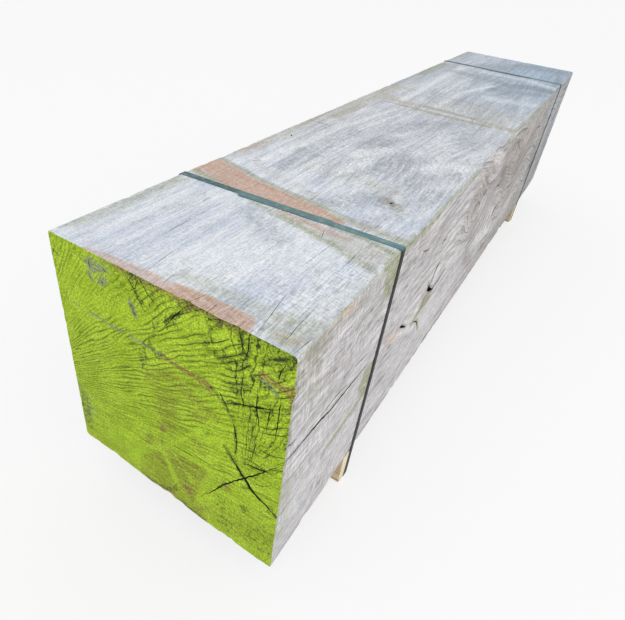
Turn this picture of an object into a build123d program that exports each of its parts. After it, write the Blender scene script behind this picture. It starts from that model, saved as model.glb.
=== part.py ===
from build123d import *
import math
import os

# Sawn hardwood post, banded to two softwood bearers. Millimetres, X across, Y along, Z up.
# The origin is under the middle of the bundle, on the floor. The painted end faces -Y.

# Post
post_width = 500.0
post_height = 535.0
post_length = 2400.0
arris_radius = 5.0        # long edges, rounded by weather and handling
wane_radius = 11.0        # the low left edge, where the log's outside shows
end_arris_radius = 1.6    # edges of the two sawn ends

# Bearers, planed studs laid on edge across the post
bearer_width = 38.0
bearer_height = 89.0
bearer_arris_radius = 3.0
near_bearer_from_end = 316.0
far_bearer_from_end = 371.0

# Straps, flat plastic bands with their ends lapped and welded on top
strap_width = 16.0
strap_thickness = 1.0
strap_bend_ease = 1.0     # how much tighter a strap bends than the edge under it
lap_ramp = 14.0           # the upper layer climbs onto the lower one over this length
upper_stray = 7.0         # past the weld the upper cut end strays this far towards -Y
lower_stray = 3.0         # and the lower one this far towards +Y

# Leans: how much further along the post a band crosses the top edge than the bearer's foot.
# The other places are across the post: both cut ends, and where the weld begins.
strap_runs = {
    "near": {"lean_left": 1.0, "lean_right": 24.0, "upper_end": -95.0, "weld": 20.0, "lower_end": 103.0},
    "far": {"lean_left": 20.0, "lean_right": 17.0, "upper_end": -62.0, "weld": 30.0, "lower_end": 118.0},
}

# Checks, the cracks that seasoning opens. Each is a wedge that follows a path.
cutter_overrun = 1.0      # a cutter starts this far outside the face
root_share = 0.15         # width at the bottom of a check, as a share of its mouth
pith_inset = 428.0        # the pith, from the left face
pith_height = 217.0       # and from the underside

# The star of checks round the pith: turn and length of each stretch of a check's path
star_checks = {
    "low_right": {"path": ((-62, 24), (-24, 22), (-24, 27), (-16, 34)), "mouth": 5.0, "depth": 90.0},
    "right": {"path": ((56, 42), (55, 38), (52, 60)), "mouth": 3.0, "depth": 70.0},
    "up_left": {"path": ((123, 24), (131, 24), (148, 12)), "mouth": 6.0, "depth": 85.0},
    "left": {"path": ((-116, 28), (-128, 39), (-122, 26), (-126, 60)), "mouth": 2.6, "depth": 60.0},
}

# Checks apart from the star, on the painted end: points across from the left face and up
end_checks = {
    "riser": {
        "path": ((408, 268), (405, 313), (399, 345), (391, 365), (373, 387)),
        "mouth": 3.2,
        "depth": 45.0,
    },
    "small_right": {"path": ((423, 258), (450, 267), (469, 273)), "mouth": 3.0, "depth": 40.0},
    "high_a": {"path": ((443, 398), (446, 375), (449, 352)), "mouth": 2.2, "depth": 30.0},
    "high_b": {"path": ((462, 435), (464, 413), (463, 369), (455, 325)), "mouth": 2.2, "depth": 30.0},
    "high_c": {"path": ((410, 414), (416, 398), (421, 380)), "mouth": 2.0, "depth": 25.0},
}

# Checks on the right side: points along from the painted end and up from the underside.
# The main one goes on round the corner from the star's right arm.
side_checks = {
    "main": {
        "path": ((-4, 311), (62, 314), (127, 308), (138, 302), (190, 297), (232, 294), (305, 293)),
        "mouth": 4.0,
        "depth": 55.0,
        "open_start": True,
    },
    "upper": {"path": ((127, 322), (164, 318), (220, 309)), "mouth": 2.4, "depth": 35.0},
    "third": {"path": ((226, 346), (249, 341), (273, 333)), "mouth": 2.0, "depth": 25.0},
    "short": {"path": ((3, 347), (18, 346), (33, 345)), "mouth": 2.0, "depth": 15.0},
    "knot_low": {"path": ((468, 268), (491, 262), (506, 254), (528, 242)), "mouth": 9.0, "depth": 24.0},
    "knot_high": {"path": ((633, 262), (651, 273), (676, 283), (720, 308)), "mouth": 11.0, "depth": 30.0},
}

# Torn lower edge of the painted end: points across from the left face and up
tear_outline = (
    (176, 0), (184, 6), (197, 4), (212, 10), (231, 6),
    (246, 12), (263, 7), (281, 9), (296, 4), (318, 0),
)
tear_depth = 22.0

# Places worked out from the sizes above
bearer_base = strap_thickness
post_base = bearer_base + bearer_height
post_top = post_base + post_height
half_width = post_width / 2
near_end = -post_length / 2
far_end = post_length / 2
near_bearer_y = near_end + near_bearer_from_end
far_bearer_y = far_end - far_bearer_from_end
strap_on_bearer = (bearer_width - strap_width) / 2    # the band runs along the bearer's far edge

end_plane = Plane(origin=(-half_width, near_end, post_base), x_dir=(1, 0, 0), z_dir=(0, -1, 0))
side_plane = Plane(origin=(half_width, near_end, post_base), x_dir=(0, 1, 0), z_dir=(1, 0, 0))


def outline(path, half_widths):
    """Corners of a slim outline that follows a path, with a half width at each point."""
    left = []
    right = []
    for i, (u, v) in enumerate(path):
        before = path[max(i - 1, 0)]
        after = path[min(i + 1, len(path) - 1)]
        run = math.hypot(after[0] - before[0], after[1] - before[1])
        across = (-(after[1] - before[1]) / run, (after[0] - before[0]) / run)
        half = half_widths[i]
        left.append((u + across[0] * half, v + across[1] * half))
        if half > 0:
            right.append((u - across[0] * half, v - across[1] * half))
    return left + right[::-1]


def check_cutter(plane, path, mouth, depth, open_start=False):
    """A wedge that follows a path on a face and narrows with depth. Closed ends taper to a point."""
    halves = [mouth / 2] * len(path)
    halves[-1] = 0.0
    if not open_start:
        halves[0] = 0.0
    sections = []
    for share, height in ((1.0, cutter_overrun), (root_share, -depth)):
        corners = outline(path, [half * share for half in halves])
        points = [plane.from_local_coords((u, v, height)) for u, v in corners]
        sections.append(make_face(Polyline(*points, close=True)))
    return loft(sections, ruled=True)


def walk(start, steps):
    """Points reached from a start by steps of (turn, length)."""
    path = [start]
    for turn, length in steps:
        u, v = path[-1]
        angle = math.radians(turn)
        path.append((u + length * math.cos(angle), v + length * math.sin(angle)))
    return path


def long_edges(solid):
    """Edges along the post, the low left one first."""
    return solid.edges().filter_by(Axis.Y).sort_by(lambda edge: edge.center().X + edge.center().Z)


def make_post():
    post = Box(post_width, post_length, post_height, align=(Align.CENTER, Align.CENTER, Align.MIN))
    post = Pos(0, 0, post_base) * post
    post = fillet(long_edges(post)[1:], arris_radius)
    post = fillet(long_edges(post)[0], wane_radius)
    end_edges = [edge for edge in post.edges() if abs(edge.center().Y) > far_end - end_arris_radius]
    post = fillet(end_edges, end_arris_radius)

    for check in star_checks.values():
        path = walk((pith_inset, pith_height), check["path"])
        post -= check_cutter(end_plane, path, check["mouth"], check["depth"], open_start=True)
    for check in end_checks.values():
        post -= check_cutter(end_plane, **check)
    for check in side_checks.values():
        post -= check_cutter(side_plane, **check)

    tear = [end_plane.from_local_coords((u, v - cutter_overrun, cutter_overrun)) for u, v in tear_outline]
    post -= extrude(make_face(Polyline(*tear, close=True)), tear_depth + cutter_overrun, dir=(0, 1, 0))
    return post


def make_bearer(middle_y):
    bearer = Box(post_width, bearer_width, bearer_height, align=(Align.CENTER, Align.CENTER, Align.MIN))
    bearer = Pos(0, middle_y, bearer_base) * bearer
    return fillet(bearer.edges(), bearer_arris_radius)


def run_plate(start, end, normal):
    """A straight run of band between two places, each the middle of the band's width."""
    half = strap_width / 2
    corners = (
        (start[0], start[1] - half, start[2]),
        (start[0], start[1] + half, start[2]),
        (end[0], end[1] + half, end[2]),
        (end[0], end[1] - half, end[2]),
    )
    return extrude(make_face(Polyline(*corners, close=True)), strap_thickness, dir=normal)


def bend(side, level, middle_y, inner_radius, turn):
    """A quarter bend of band round one long edge of the bundle."""
    cutter_width = strap_width + 2 * cutter_overrun
    reach = inner_radius + strap_thickness + cutter_overrun
    ring = Cylinder(inner_radius + strap_thickness, strap_width) - Cylinder(inner_radius, cutter_width)
    ring = ring & Box(reach, reach, cutter_width, align=(Align.MIN, Align.MIN, Align.CENTER))
    ring = Rot(0, turn, 0) * (Rot(90, 0, 0) * ring)
    return Pos(side, middle_y, level) * ring


def make_strap(bearer_y, lean_left, lean_right, upper_end, weld, lower_end):
    """A band round the post and a bearer, in one piece, its ends lapped on the top face."""
    foot_y = bearer_y + strap_on_bearer
    left_y = foot_y + lean_left
    right_y = foot_y + lean_right
    top_bend = arris_radius - strap_bend_ease
    foot_bend = bearer_arris_radius - strap_bend_ease
    top_edge = half_width - top_bend
    foot_edge = half_width - foot_bend
    foot_level = bearer_base + foot_bend
    top_level = post_top - top_bend
    left, right, down, up = (-1, 0, 0), (1, 0, 0), (0, 0, -1), (0, 0, 1)

    def on_top(x, stray=0.0, lift=0.0):
        """A place on the band's straight line across the top face, or beside or above it."""
        share = (x + top_edge) / (2 * top_edge)
        return (x, left_y + (right_y - left_y) * share + stray, post_top + lift)

    strap = run_plate((-foot_edge, foot_y, bearer_base), (foot_edge, foot_y, bearer_base), down)
    strap += run_plate((half_width, foot_y, foot_level), (half_width, right_y, top_level), right)
    strap += run_plate((-half_width, foot_y, foot_level), (-half_width, left_y, top_level), left)
    strap += bend(foot_edge, foot_level, foot_y, foot_bend, 90)
    strap += bend(-foot_edge, foot_level, foot_y, foot_bend, 180)
    strap += bend(top_edge, top_level, right_y, top_bend, 0)
    strap += bend(-top_edge, top_level, left_y, top_bend, 270)

    strap += run_plate(on_top(-top_edge), on_top(weld), up)
    strap += run_plate(on_top(weld), on_top(lower_end, stray=lower_stray), up)
    ramp_foot = lower_end + lap_ramp
    strap += run_plate(on_top(top_edge), on_top(ramp_foot), up)
    strap += run_plate(on_top(ramp_foot), on_top(lower_end, lift=strap_thickness), up)
    strap += run_plate(on_top(lower_end, lift=strap_thickness), on_top(weld, lift=strap_thickness), up)
    tail = on_top(upper_end, stray=-upper_stray, lift=strap_thickness)
    strap += run_plate(on_top(weld, lift=strap_thickness), tail, up)
    return strap


def main():
    os.makedirs("parts", exist_ok=True)
    nodes = {
        "post": make_post(),
        "bearer_near": make_bearer(near_bearer_y),
        "bearer_far": make_bearer(far_bearer_y),
        "strap_near": make_strap(near_bearer_y, **strap_runs["near"]),
        "strap_far": make_strap(far_bearer_y, **strap_runs["far"]),
    }
    for name, solid in nodes.items():
        export_step(solid, f"parts/{name}.step")
        print(name, len(solid.solids()), round(solid.volume / 1000), "cm3", solid.bounding_box())


main()
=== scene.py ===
import bpy
import bmesh
import math
import random
import numpy as np
from mathutils import Matrix, Vector, noise


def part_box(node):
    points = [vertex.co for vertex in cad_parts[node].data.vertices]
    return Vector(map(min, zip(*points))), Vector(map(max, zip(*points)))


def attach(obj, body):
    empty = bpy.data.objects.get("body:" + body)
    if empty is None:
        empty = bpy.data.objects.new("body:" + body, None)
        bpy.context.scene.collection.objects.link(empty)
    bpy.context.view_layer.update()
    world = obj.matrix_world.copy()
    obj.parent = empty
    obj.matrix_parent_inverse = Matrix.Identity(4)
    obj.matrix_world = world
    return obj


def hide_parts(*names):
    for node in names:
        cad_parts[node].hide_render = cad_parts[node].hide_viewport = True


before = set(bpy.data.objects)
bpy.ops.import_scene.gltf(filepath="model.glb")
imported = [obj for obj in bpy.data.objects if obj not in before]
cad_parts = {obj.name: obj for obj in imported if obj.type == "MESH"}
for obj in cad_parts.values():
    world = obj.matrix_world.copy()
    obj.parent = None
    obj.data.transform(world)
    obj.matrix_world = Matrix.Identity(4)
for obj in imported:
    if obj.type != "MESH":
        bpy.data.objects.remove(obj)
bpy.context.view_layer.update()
mm = 0.001

postLow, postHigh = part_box("post")
nearEnd = postLow.y
farEnd = postHigh.y
underside = postLow.z
topLevel = postHigh.z
leftSide = postLow.x
rightSide = postHigh.x
postMiddle = (postLow + postHigh) / 2
postSize = postHigh - postLow
print("frame loaded, post", [round(v, 3) for v in postSize])


# Places on the post's faces, from millimetres measured on each face

def onTop(x, y, out=0.0):
    return Vector((x * mm, nearEnd + y * mm, topLevel + out * mm))


def onEnd(x, z, out=0.0):
    return Vector((x * mm, nearEnd - out * mm, underside + z * mm))


def onRight(y, z, out=0.0):
    return Vector((rightSide + out * mm, nearEnd + y * mm, underside + z * mm))


def onLeft(y, z, out=0.0):
    return Vector((leftSide - out * mm, nearEnd + y * mm, underside + z * mm))


def onFarEnd(x, z, out=0.0):
    return Vector((x * mm, farEnd + out * mm, underside + z * mm))


faces = {"top": onTop, "end": onEnd, "right": onRight, "left": onLeft, "farEnd": onFarEnd}


# Camera

camera = {
    "place": (0.4695, -1.6415, 1.084),
    "right": (0.83477, 0.544, 0.08504),
    "forward": (-0.40868, 0.71566, -0.5664),
    "lens": 29.95,
    "shiftX": 0.044,
    "shiftY": -0.0496,
}


def setCamera():
    data = bpy.data.cameras.new("camera")
    data.lens = camera["lens"]
    data.shift_x = camera["shiftX"]
    data.shift_y = camera["shiftY"]
    obj = bpy.data.objects.new("camera", data)
    bpy.context.scene.collection.objects.link(obj)
    right = Vector(camera["right"]).normalized()
    back = -Vector(camera["forward"]).normalized()
    up = back.cross(right)
    turn = Matrix((right, up, back)).transposed().to_4x4()
    obj.matrix_world = Matrix.Translation(camera["place"]) @ turn
    bpy.context.scene.camera = obj
    print("camera set")


# Light and floor

studio = {
    "worldStrength": 0.86,
    "keySize": 6.0,
    "keyPower": 46.0,
    "keyPlace": (2.6, -2.2, 3.4),
    "floorColour": (0.9, 0.9, 0.9, 1.0),
    "floorSize": 30.0,
    "floorRoughness": 0.95,
    "floorGlow": 0.72,      # how far the floor is lifted to white where the camera sees it
    "aim": (0, 0, 0.3),
}


def seenOrMirrored(tree):
    path = put(tree, "ShaderNodeLightPath").outputs
    return largest(tree, path["Is Camera Ray"], path["Is Glossy Ray"])


def setStudio():
    scene = bpy.context.scene
    scene.view_settings.view_transform = "Standard"
    world = bpy.data.worlds.new("studio")
    world.use_nodes = True
    scene.world = world
    tree = world.node_tree
    tree.nodes.clear()
    dim = put(tree, "ShaderNodeBackground", {"Color": (1, 1, 1, 1), "Strength": studio["worldStrength"]})
    white = put(tree, "ShaderNodeBackground", {"Color": (1, 1, 1, 1), "Strength": 1.0})
    mix = put(tree, "ShaderNodeMixShader", {0: seenOrMirrored(tree), 1: dim.outputs[0], 2: white.outputs[0]})
    put(tree, "ShaderNodeOutputWorld", {"Surface": mix.outputs[0]})

    lamp = bpy.data.lights.new("key", "AREA")
    lamp.shape = "DISK"
    lamp.size = studio["keySize"]
    lamp.energy = studio["keyPower"]
    key = bpy.data.objects.new("key", lamp)
    scene.collection.objects.link(key)
    key.location = studio["keyPlace"]
    key.rotation_euler = (Vector(studio["aim"]) - key.location).to_track_quat("-Z", "Y").to_euler()

    bm = bmesh.new()
    bmesh.ops.create_grid(bm, x_segments=1, y_segments=1, size=studio["floorSize"])
    floor = meshObject("floor", bm)
    material, tree, shader = plainMaterial("paleFloor")
    shader.inputs["Base Color"].default_value = studio["floorColour"]
    shader.inputs["Roughness"].default_value = studio["floorRoughness"]
    glow = put(tree, "ShaderNodeEmission", {"Color": (1, 1, 1, 1), "Strength": 1.0})
    share = times(tree, seenOrMirrored(tree), studio["floorGlow"])
    mix = put(tree, "ShaderNodeMixShader", {0: share, 1: shader.outputs[0], 2: glow.outputs[0]})
    tree.links.new(mix.outputs[0], tree.nodes["Material Output"].inputs["Surface"])
    floor.data.materials.append(material)
    print("studio set")


# Small helpers for meshes and nodes

def meshObject(name, bm):
    mesh = bpy.data.meshes.new(name)
    bm.to_mesh(mesh)
    bm.free()
    obj = bpy.data.objects.new(name, mesh)
    bpy.context.scene.collection.objects.link(obj)
    return obj


def srgb(red, green, blue):
    # takes a colour as a picture shows it, 0 to 255
    out = []
    for value in (red, green, blue):
        value = value / 255
        out.append(value / 12.92 if value <= 0.04045 else ((value + 0.055) / 1.055) ** 2.4)
    return (*out, 1.0)


def put(tree, kind, inputs=None, **settings):
    node = tree.nodes.new(kind)
    for key, value in settings.items():
        setattr(node, key, value)
    for key, value in (inputs or {}).items():
        if isinstance(value, bpy.types.NodeSocket):
            tree.links.new(value, node.inputs[key])
        else:
            node.inputs[key].default_value = value
    return node


def calc(tree, operation, first, second=0.0):
    return put(tree, "ShaderNodeMath", {0: first, 1: second}, operation=operation).outputs[0]


def chained(tree, operation, values):
    total = values[0]
    for value in values[1:]:
        total = calc(tree, operation, total, value)
    return total


def plus(tree, *values):
    return chained(tree, "ADD", values)


def times(tree, *values):
    return chained(tree, "MULTIPLY", values)


def largest(tree, *values):
    return chained(tree, "MAXIMUM", values)


def minus(tree, first, second):
    return calc(tree, "SUBTRACT", first, second)


def folded(tree, value):
    # 0 where a measure passes whole numbers, 0.5 half way between
    return calc(tree, "PINGPONG", value, 0.5)


def blendColour(tree, factor, first, second):
    return put(tree, "ShaderNodeMix", {0: factor, 6: first, 7: second}, data_type="RGBA").outputs[2]


def ramp(tree, value, low, high, outLow=0.0, outHigh=1.0):
    inputs = {"Value": value, "From Min": low, "From Max": high, "To Min": outLow, "To Max": outHigh}
    return put(tree, "ShaderNodeMapRange", inputs, interpolation_type="SMOOTHSTEP").outputs["Result"]


def bySize(tree, vector, sizes):
    rates = tuple(1 / size for size in sizes)
    return put(tree, "ShaderNodeVectorMath", {0: vector, 1: rates}, operation="MULTIPLY").outputs[0]


def distanceFrom(tree, place, point):
    return put(tree, "ShaderNodeVectorMath", {0: place, 1: point}, operation="DISTANCE").outputs["Value"]


def noiseAt(tree, vector, detail=2.0, roughness=0.5):
    inputs = {"Vector": vector, "Scale": 1.0, "Detail": detail, "Roughness": roughness}
    return put(tree, "ShaderNodeTexNoise", inputs).outputs["Fac"]


def layer(tree, name):
    return put(tree, "ShaderNodeAttribute", attribute_name=name).outputs["Fac"]


def plainMaterial(name):
    material = bpy.data.materials.new(name)
    material.use_nodes = True
    tree = material.node_tree
    tree.nodes.clear()
    shader = tree.nodes.new("ShaderNodeBsdfPrincipled")
    out = tree.nodes.new("ShaderNodeOutputMaterial")
    tree.links.new(shader.outputs[0], out.inputs["Surface"])
    return material, tree, shader


def objectPlace(tree):
    return put(tree, "ShaderNodeTexCoord").outputs["Object"]


def join(tree, x, y, z):
    return put(tree, "ShaderNodeCombineXYZ", {0: x, 1: y, 2: z}).outputs[0]


def parts(tree, vector):
    return put(tree, "ShaderNodeSeparateXYZ", {0: vector}).outputs


def bevelEdges(bm, edges, width, segments):
    bmesh.ops.bevel(bm, geom=edges, offset=width, offset_type="OFFSET", affect="EDGES",
                    segments=segments, profile=0.5, material=-1)


def boxMesh(middle, size):
    bm = bmesh.new()
    bmesh.ops.create_cube(bm, size=1.0)
    bmesh.ops.scale(bm, vec=size, verts=bm.verts)
    bmesh.ops.translate(bm, vec=middle, verts=bm.verts)
    return bm


def writeValues(mesh, name, values):
    attribute = mesh.attributes.new(name, "FLOAT", "POINT")
    attribute.data.foreach_set("value", np.asarray(values, dtype=np.float32))


def finishSurface(tree, shader, colour, height, strength, distance, roughness, gloss=0.25):
    tree.links.new(colour, shader.inputs["Base Color"])
    bump = put(tree, "ShaderNodeBump", {"Height": height, "Strength": strength, "Distance": distance})
    tree.links.new(bump.outputs[0], shader.inputs["Normal"])
    if isinstance(roughness, bpy.types.NodeSocket):
        tree.links.new(roughness, shader.inputs["Roughness"])
    else:
        shader.inputs["Roughness"].default_value = roughness
    shader.inputs["Specular IOR Level"].default_value = gloss


# The post

post = {
    "arris": 5.0,
    "wane": 11.0,
    "columnStep": 25.0,
    "rowStep": 20.0,
    "fineTo": 800.0,         # the top and right faces have a finer mesh this far from the near end
    "pith": (178.0, 217.0),  # across and up on the near end
    "endDivisions": 3,
}


def inStrides(start, end, step):
    count = max(1, round((end - start) / step))
    return [start + (end - start) * i / count for i in range(1, count)]


def cutAcross(bm, place, normal):
    everything = bm.verts[:] + bm.edges[:] + bm.faces[:]
    bmesh.ops.bisect_plane(bm, geom=everything, dist=1e-6, plane_co=place, plane_no=normal)


def subdivide(bm, chosen):
    bm.normal_update()
    edges = {e for f in bm.faces if chosen(f) for e in f.edges}
    bmesh.ops.subdivide_edges(bm, edges=list(edges), cuts=1, use_grid_fill=True)


def makePostBody():
    bm = boxMesh(postMiddle, postSize)

    def longEdges(atWane):
        # the edges along the post, those of the lower left corner or the others
        out = []
        for edge in bm.edges:
            a, b = edge.verts[0].co, edge.verts[1].co
            low = a.x < leftSide + 1e-5 and a.z < underside + 1e-5
            if abs(a.y - b.y) > 1 and low == atWane:
                out.append(edge)
        return out

    bevelEdges(bm, longEdges(False), post["arris"] * mm, 3)
    bevelEdges(bm, longEdges(True), post["wane"] * mm, 4)
    for x in inStrides(leftSide, rightSide, post["columnStep"] * mm):
        cutAcross(bm, (x, 0, 0), (1, 0, 0))
    for z in inStrides(underside, topLevel, post["columnStep"] * mm):
        cutAcross(bm, (0, 0, z), (0, 0, 1))
    for y in inStrides(nearEnd, farEnd, post["rowStep"] * mm):
        cutAcross(bm, (0, y, 0), (0, 1, 0))
    subdivide(bm, lambda f: f.normal.z > 0.5 or f.normal.x > 0.5)
    subdivide(bm, lambda f: (f.normal.z > 0.5 or f.normal.x > 0.5)
              and f.calc_center_median().y < nearEnd + post["fineTo"] * mm)
    for _ in range(post["endDivisions"]):
        subdivide(bm, lambda f: f.normal.y < -0.9)
    print("post body", len(bm.faces), "faces")
    return bm


# Checks: seasoning cracks, each cut by a wedge that follows a path on a face

mainChecks = {
    "end": [
        # path across and up, mouth, depth, cutter set
        ([(137, 264), (145, 256), (160, 238), (178, 217), (191, 200), (210, 188), (229, 180),
          (256, 164)], 6.0, 90, 0),
        ([(80, 72), (89, 88), (113, 122), (132, 156), (150, 181), (177, 216), (202, 246), (213, 262),
          (243, 304), (254, 316)], 2.9, 80, 1),
        ([(158, 262), (157, 313), (153, 330)], 2.6, 45, 0),
        ([(149, 346), (154, 324), (156, 298)], 2.2, 40, 1),
        ([(121, 390), (130, 377), (140, 360)], 2.8, 40, 1),
        ([(61, 529), (48, 512), (32, 492), (17, 474)], 1.7, 14, 2),
        ([(139, 379), (160, 388), (188, 401), (217, 413)], 2.4, 20, 1),
        ([(178, 257), (200, 262), (222, 269)], 3.0, 30, 2),
        ([(-58, 534), (-40, 524), (-46, 508), (-62, 494)], 1.8, 15, 0),
        ([(159, 458), (164, 440), (162, 415), (168, 393), (172, 372)], 2.2, 30, 0),
        ([(191, 446), (192, 402), (195, 383), (200, 350)], 2.2, 30, 0),
        ([(215, 432), (215, 413), (213, 388), (212, 356)], 2.0, 30, 0),
        ([(232, 455), (230, 423), (230, 400), (229, 349)], 1.8, 30, 0),
        ([(233, 516), (226, 496), (223, 474)], 1.8, 30, 0),
        ([(186, 362), (187, 322)], 1.5, 25, 0),
        ([(176, 340), (178, 300), (177, 270)], 1.2, 20, 1),
        ([(197, 330), (193, 300), (187, 268)], 1.2, 20, 1),
        ([(118, 364), (137, 374), (156, 385), (180, 397), (192, 400), (215, 413), (247, 434)], 2.2, 25, 2),
        ([(-30, 160), (4, 175), (50, 182), (89, 190), (120, 191), (174, 216)], 1.5, 25, 2),
        ([(-4, 217), (74, 234), (123, 245), (150, 256)], 1.2, 15, 2),
        ([(-72, 536), (-56, 514), (-29, 470)], 1.8, 20, 0),
        ([(-38, 536), (-20, 508), (3, 492)], 1.8, 20, 1),
        ([(66, 527), (37, 498), (17, 468), (-3, 440)], 1.3, 12, 0),
        ([(152, 536), (158, 515), (161, 500), (164, 488)], 2.3, 25, 1),
        ([(172, 536), (171, 509), (168, 482)], 2.3, 25, 1),
        ([(233, 243), (213, 226), (183, 214)], 1.2, 20, 2),
    ],
    "right": [
        ([(-4, 316), (20, 315), (67, 312), (120, 307), (143, 300), (180, 299), (220, 298),
          (309, 293)], 5.4, 60, 2),
        ([(100, 322), (150, 322), (185, 318), (220, 311)], 2.6, 35, 1),
        ([(233, 341), (260, 337), (287, 333)], 2.4, 25, 1),
        ([(3, 347), (18, 346), (33, 345)], 3.0, 20, 1),
        ([(648, 300), (655, 286), (666, 272), (684, 259), (700, 252), (716, 250)], 13.0, 32, 2),
        ([(676, 276), (667, 294), (673, 312), (684, 327), (698, 337), (710, 343)], 7.0, 30, 0),
        ([(706, 256), (722, 254), (745, 255), (760, 259), (770, 264), (781, 267), (806, 266)], 5.6, 20, 0),
        ([(584, 217), (610, 204), (633, 188), (657, 158), (673, 136)], 3.4, 12, 0),
        ([(1396, 240), (1377, 206), (1350, 188), (1320, 172)], 7.0, 30, 0),
        ([(664, 404), (680, 404), (697, 405)], 4.4, 15, 0),
        ([(500, 462), (520, 450), (553, 442)], 2.6, 8, 0),
        ([(1763, 427), (1800, 418), (1850, 415)], 4.0, 15, 0),
        ([(929, 372), (950, 392), (985, 396), (1020, 372)], 3.0, 8, 0),
        ([(1235, 352), (1262, 346), (1291, 346)], 4.0, 12, 0),
    ],
    "top": [
        ([(-36, -3), (-40, 34), (-49, 92)], 0.9, 10, 2),
        ([(4, 12), (1, 30), (2, 48)], 1.0, 10, 2),
        ([(63, -3), (67, 14), (71, 34)], 1.1, 10, 2),
        ([(98, -3), (98, 30)], 1.0, 10, 2),
        ([(182, -3), (177, 20), (170, 60), (158, 124)], 0.95, 10, 2),
        ([(217, -3), (217, 30), (214, 60), (213, 118)], 0.9, 10, 2),
        ([(118, 288), (108, 318)], 1.2, 12, 0),
        ([(217, 149), (218, 195)], 1.0, 12, 0),
        ([(240, -3), (243, 30), (247, 54)], 1.0, 12, 0),
        ([(-252, 852), (-205, 850), (-160, 852)], 2.0, 10, 0),
    ],
    "farEnd": [
        ([(150, 262), (163, 238), (178, 214), (196, 190), (214, 170)], 4.0, 60, 0),
        ([(60, 150), (110, 176), (150, 200), (178, 216), (212, 250), (254, 282)], 3.0, 60, 1),
        ([(172, 262), (168, 320), (160, 380)], 2.4, 40, 0),
        ([(205, 300), (212, 350), (208, 420)], 1.8, 30, 0),
        ([(120, 352), (170, 366), (232, 372)], 1.8, 25, 2),
    ],
    "left": [
        ([(-3, 240), (80, 244), (190, 236), (330, 240)], 2.6, 30, 2),
        ([(900, 300), (1040, 306), (1180, 298)], 2.6, 30, 0),
        ([(1900, 180), (2100, 188), (2403, 180)], 2.6, 30, 2),
    ],
}

knotHoles = {
    # middle along and up, half length, half width, depth, turn in degrees
    "right": [
        (668, 274, 15, 8.0, 30, -48),
        (506, 253, 24, 3.2, 9, -28),
    ],
    # middle across and along
    "top": [
        (156, 514, 5, 2.4, 2.5, 60),
        (163, 503, 3, 1.8, 2.5, 10),
        (-209, 702, 6, 1.6, 2.5, -60),
    ],
}

fineChecks = {
    # face: how many, across from and to, along from and to, lengths, mouths
    "right": (60, (30, 510), (10, 2380), (25, 130), (0.8, 1.8)),
    "top": (36, (-235, 235), (5, 2380), (20, 110), (0.5, 1.0)),
    "left": (50, (30, 510), (10, 2380), (30, 200), (0.9, 2.2)),
}


cutting = {
    "seed": 21,
    "sets": 5,
    "fineSet": 3,
    "stride": 7.0,          # between a path's jogs, and how far they stray at most
    "stray": 1.3,
    "strayShare": 0.45,     # of the mouth
    "taper": 3.0,           # a check narrows over a third of its length at each end
    "tip": 0.1,
    "widths": (0.65, 1.2),
    "rootShare": 0.12,      # width at the root, as a share of the mouth
    "overrun": 1.0,
    "fineDepths": (5, 12),
    "fineSlant": 0.03,
    "pitUneven": 0.28,
    "pitNoise": 1.6,
}


def jagged(path, stride, stray, rng):
    # divides a path into short strides and lets its points stray sideways
    points = [Vector(p) for p in path]
    out = [points[0]]
    for a, b in zip(points, points[1:]):
        count = max(1, round((b - a).length / stride))
        side = Vector((-(b - a).y, (b - a).x)).normalized()
        for i in range(1, count + 1):
            off = rng.uniform(-stray, stray) * (1.0 if i < count else 0.5)
            out.append(a.lerp(b, i / count) + side * off)
    return out


def cutCheck(bm, place, path, mouth, depth, rng):
    # a wedge along a path, wide at the face and narrow at its root
    points = jagged(path, cutting["stride"], min(cutting["stray"], mouth * cutting["strayShare"]), rng)
    left, right = [], []
    last = len(points) - 1
    for i, p in enumerate(points):
        before, after = points[max(i - 1, 0)], points[min(i + 1, last)]
        side = Vector((-(after - before).y, (after - before).x)).normalized()
        narrowing = min(1.0, cutting["taper"] * min(i, last - i) / last + cutting["tip"])
        half = mouth / 2 * narrowing * rng.uniform(*cutting["widths"])
        left.append((p + side * half, p))
        right.append((p - side * half, p))
    ring = left + right[::-1]
    verts = [bm.verts.new(place(corner.x, corner.y, cutting["overrun"])) for corner, _ in ring]
    made = bmesh.ops.extrude_face_region(bm, geom=[bm.faces.new(verts)])
    roots = {tuple(v.co): v for v in made["geom"] if isinstance(v, bmesh.types.BMVert)}
    for (corner, middle), vert in zip(ring, verts):
        pulled = middle + (corner - middle) * cutting["rootShare"]
        roots[tuple(vert.co)].co = place(pulled.x, pulled.y, -depth)


def cutKnotHole(bm, place, u, v, halfLength, halfWidth, depth, turn, rng):
    # an uneven pit, made from a ball that is squashed, turned and set just under the face
    made = bmesh.ops.create_icosphere(bm, subdivisions=3, radius=1.0)
    seed = Vector((rng.uniform(0, 50), rng.uniform(0, 50), 0))
    cos, sin = math.cos(math.radians(turn)), math.sin(math.radians(turn))
    for vert in made["verts"]:
        p = vert.co * (1.0 + cutting["pitUneven"] * noise.noise(vert.co * cutting["pitNoise"] + seed))
        a, b = p.x * halfLength, p.y * halfWidth
        vert.co = place(u + a * cos - b * sin, v + a * sin + b * cos, p.z * depth)


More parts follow.
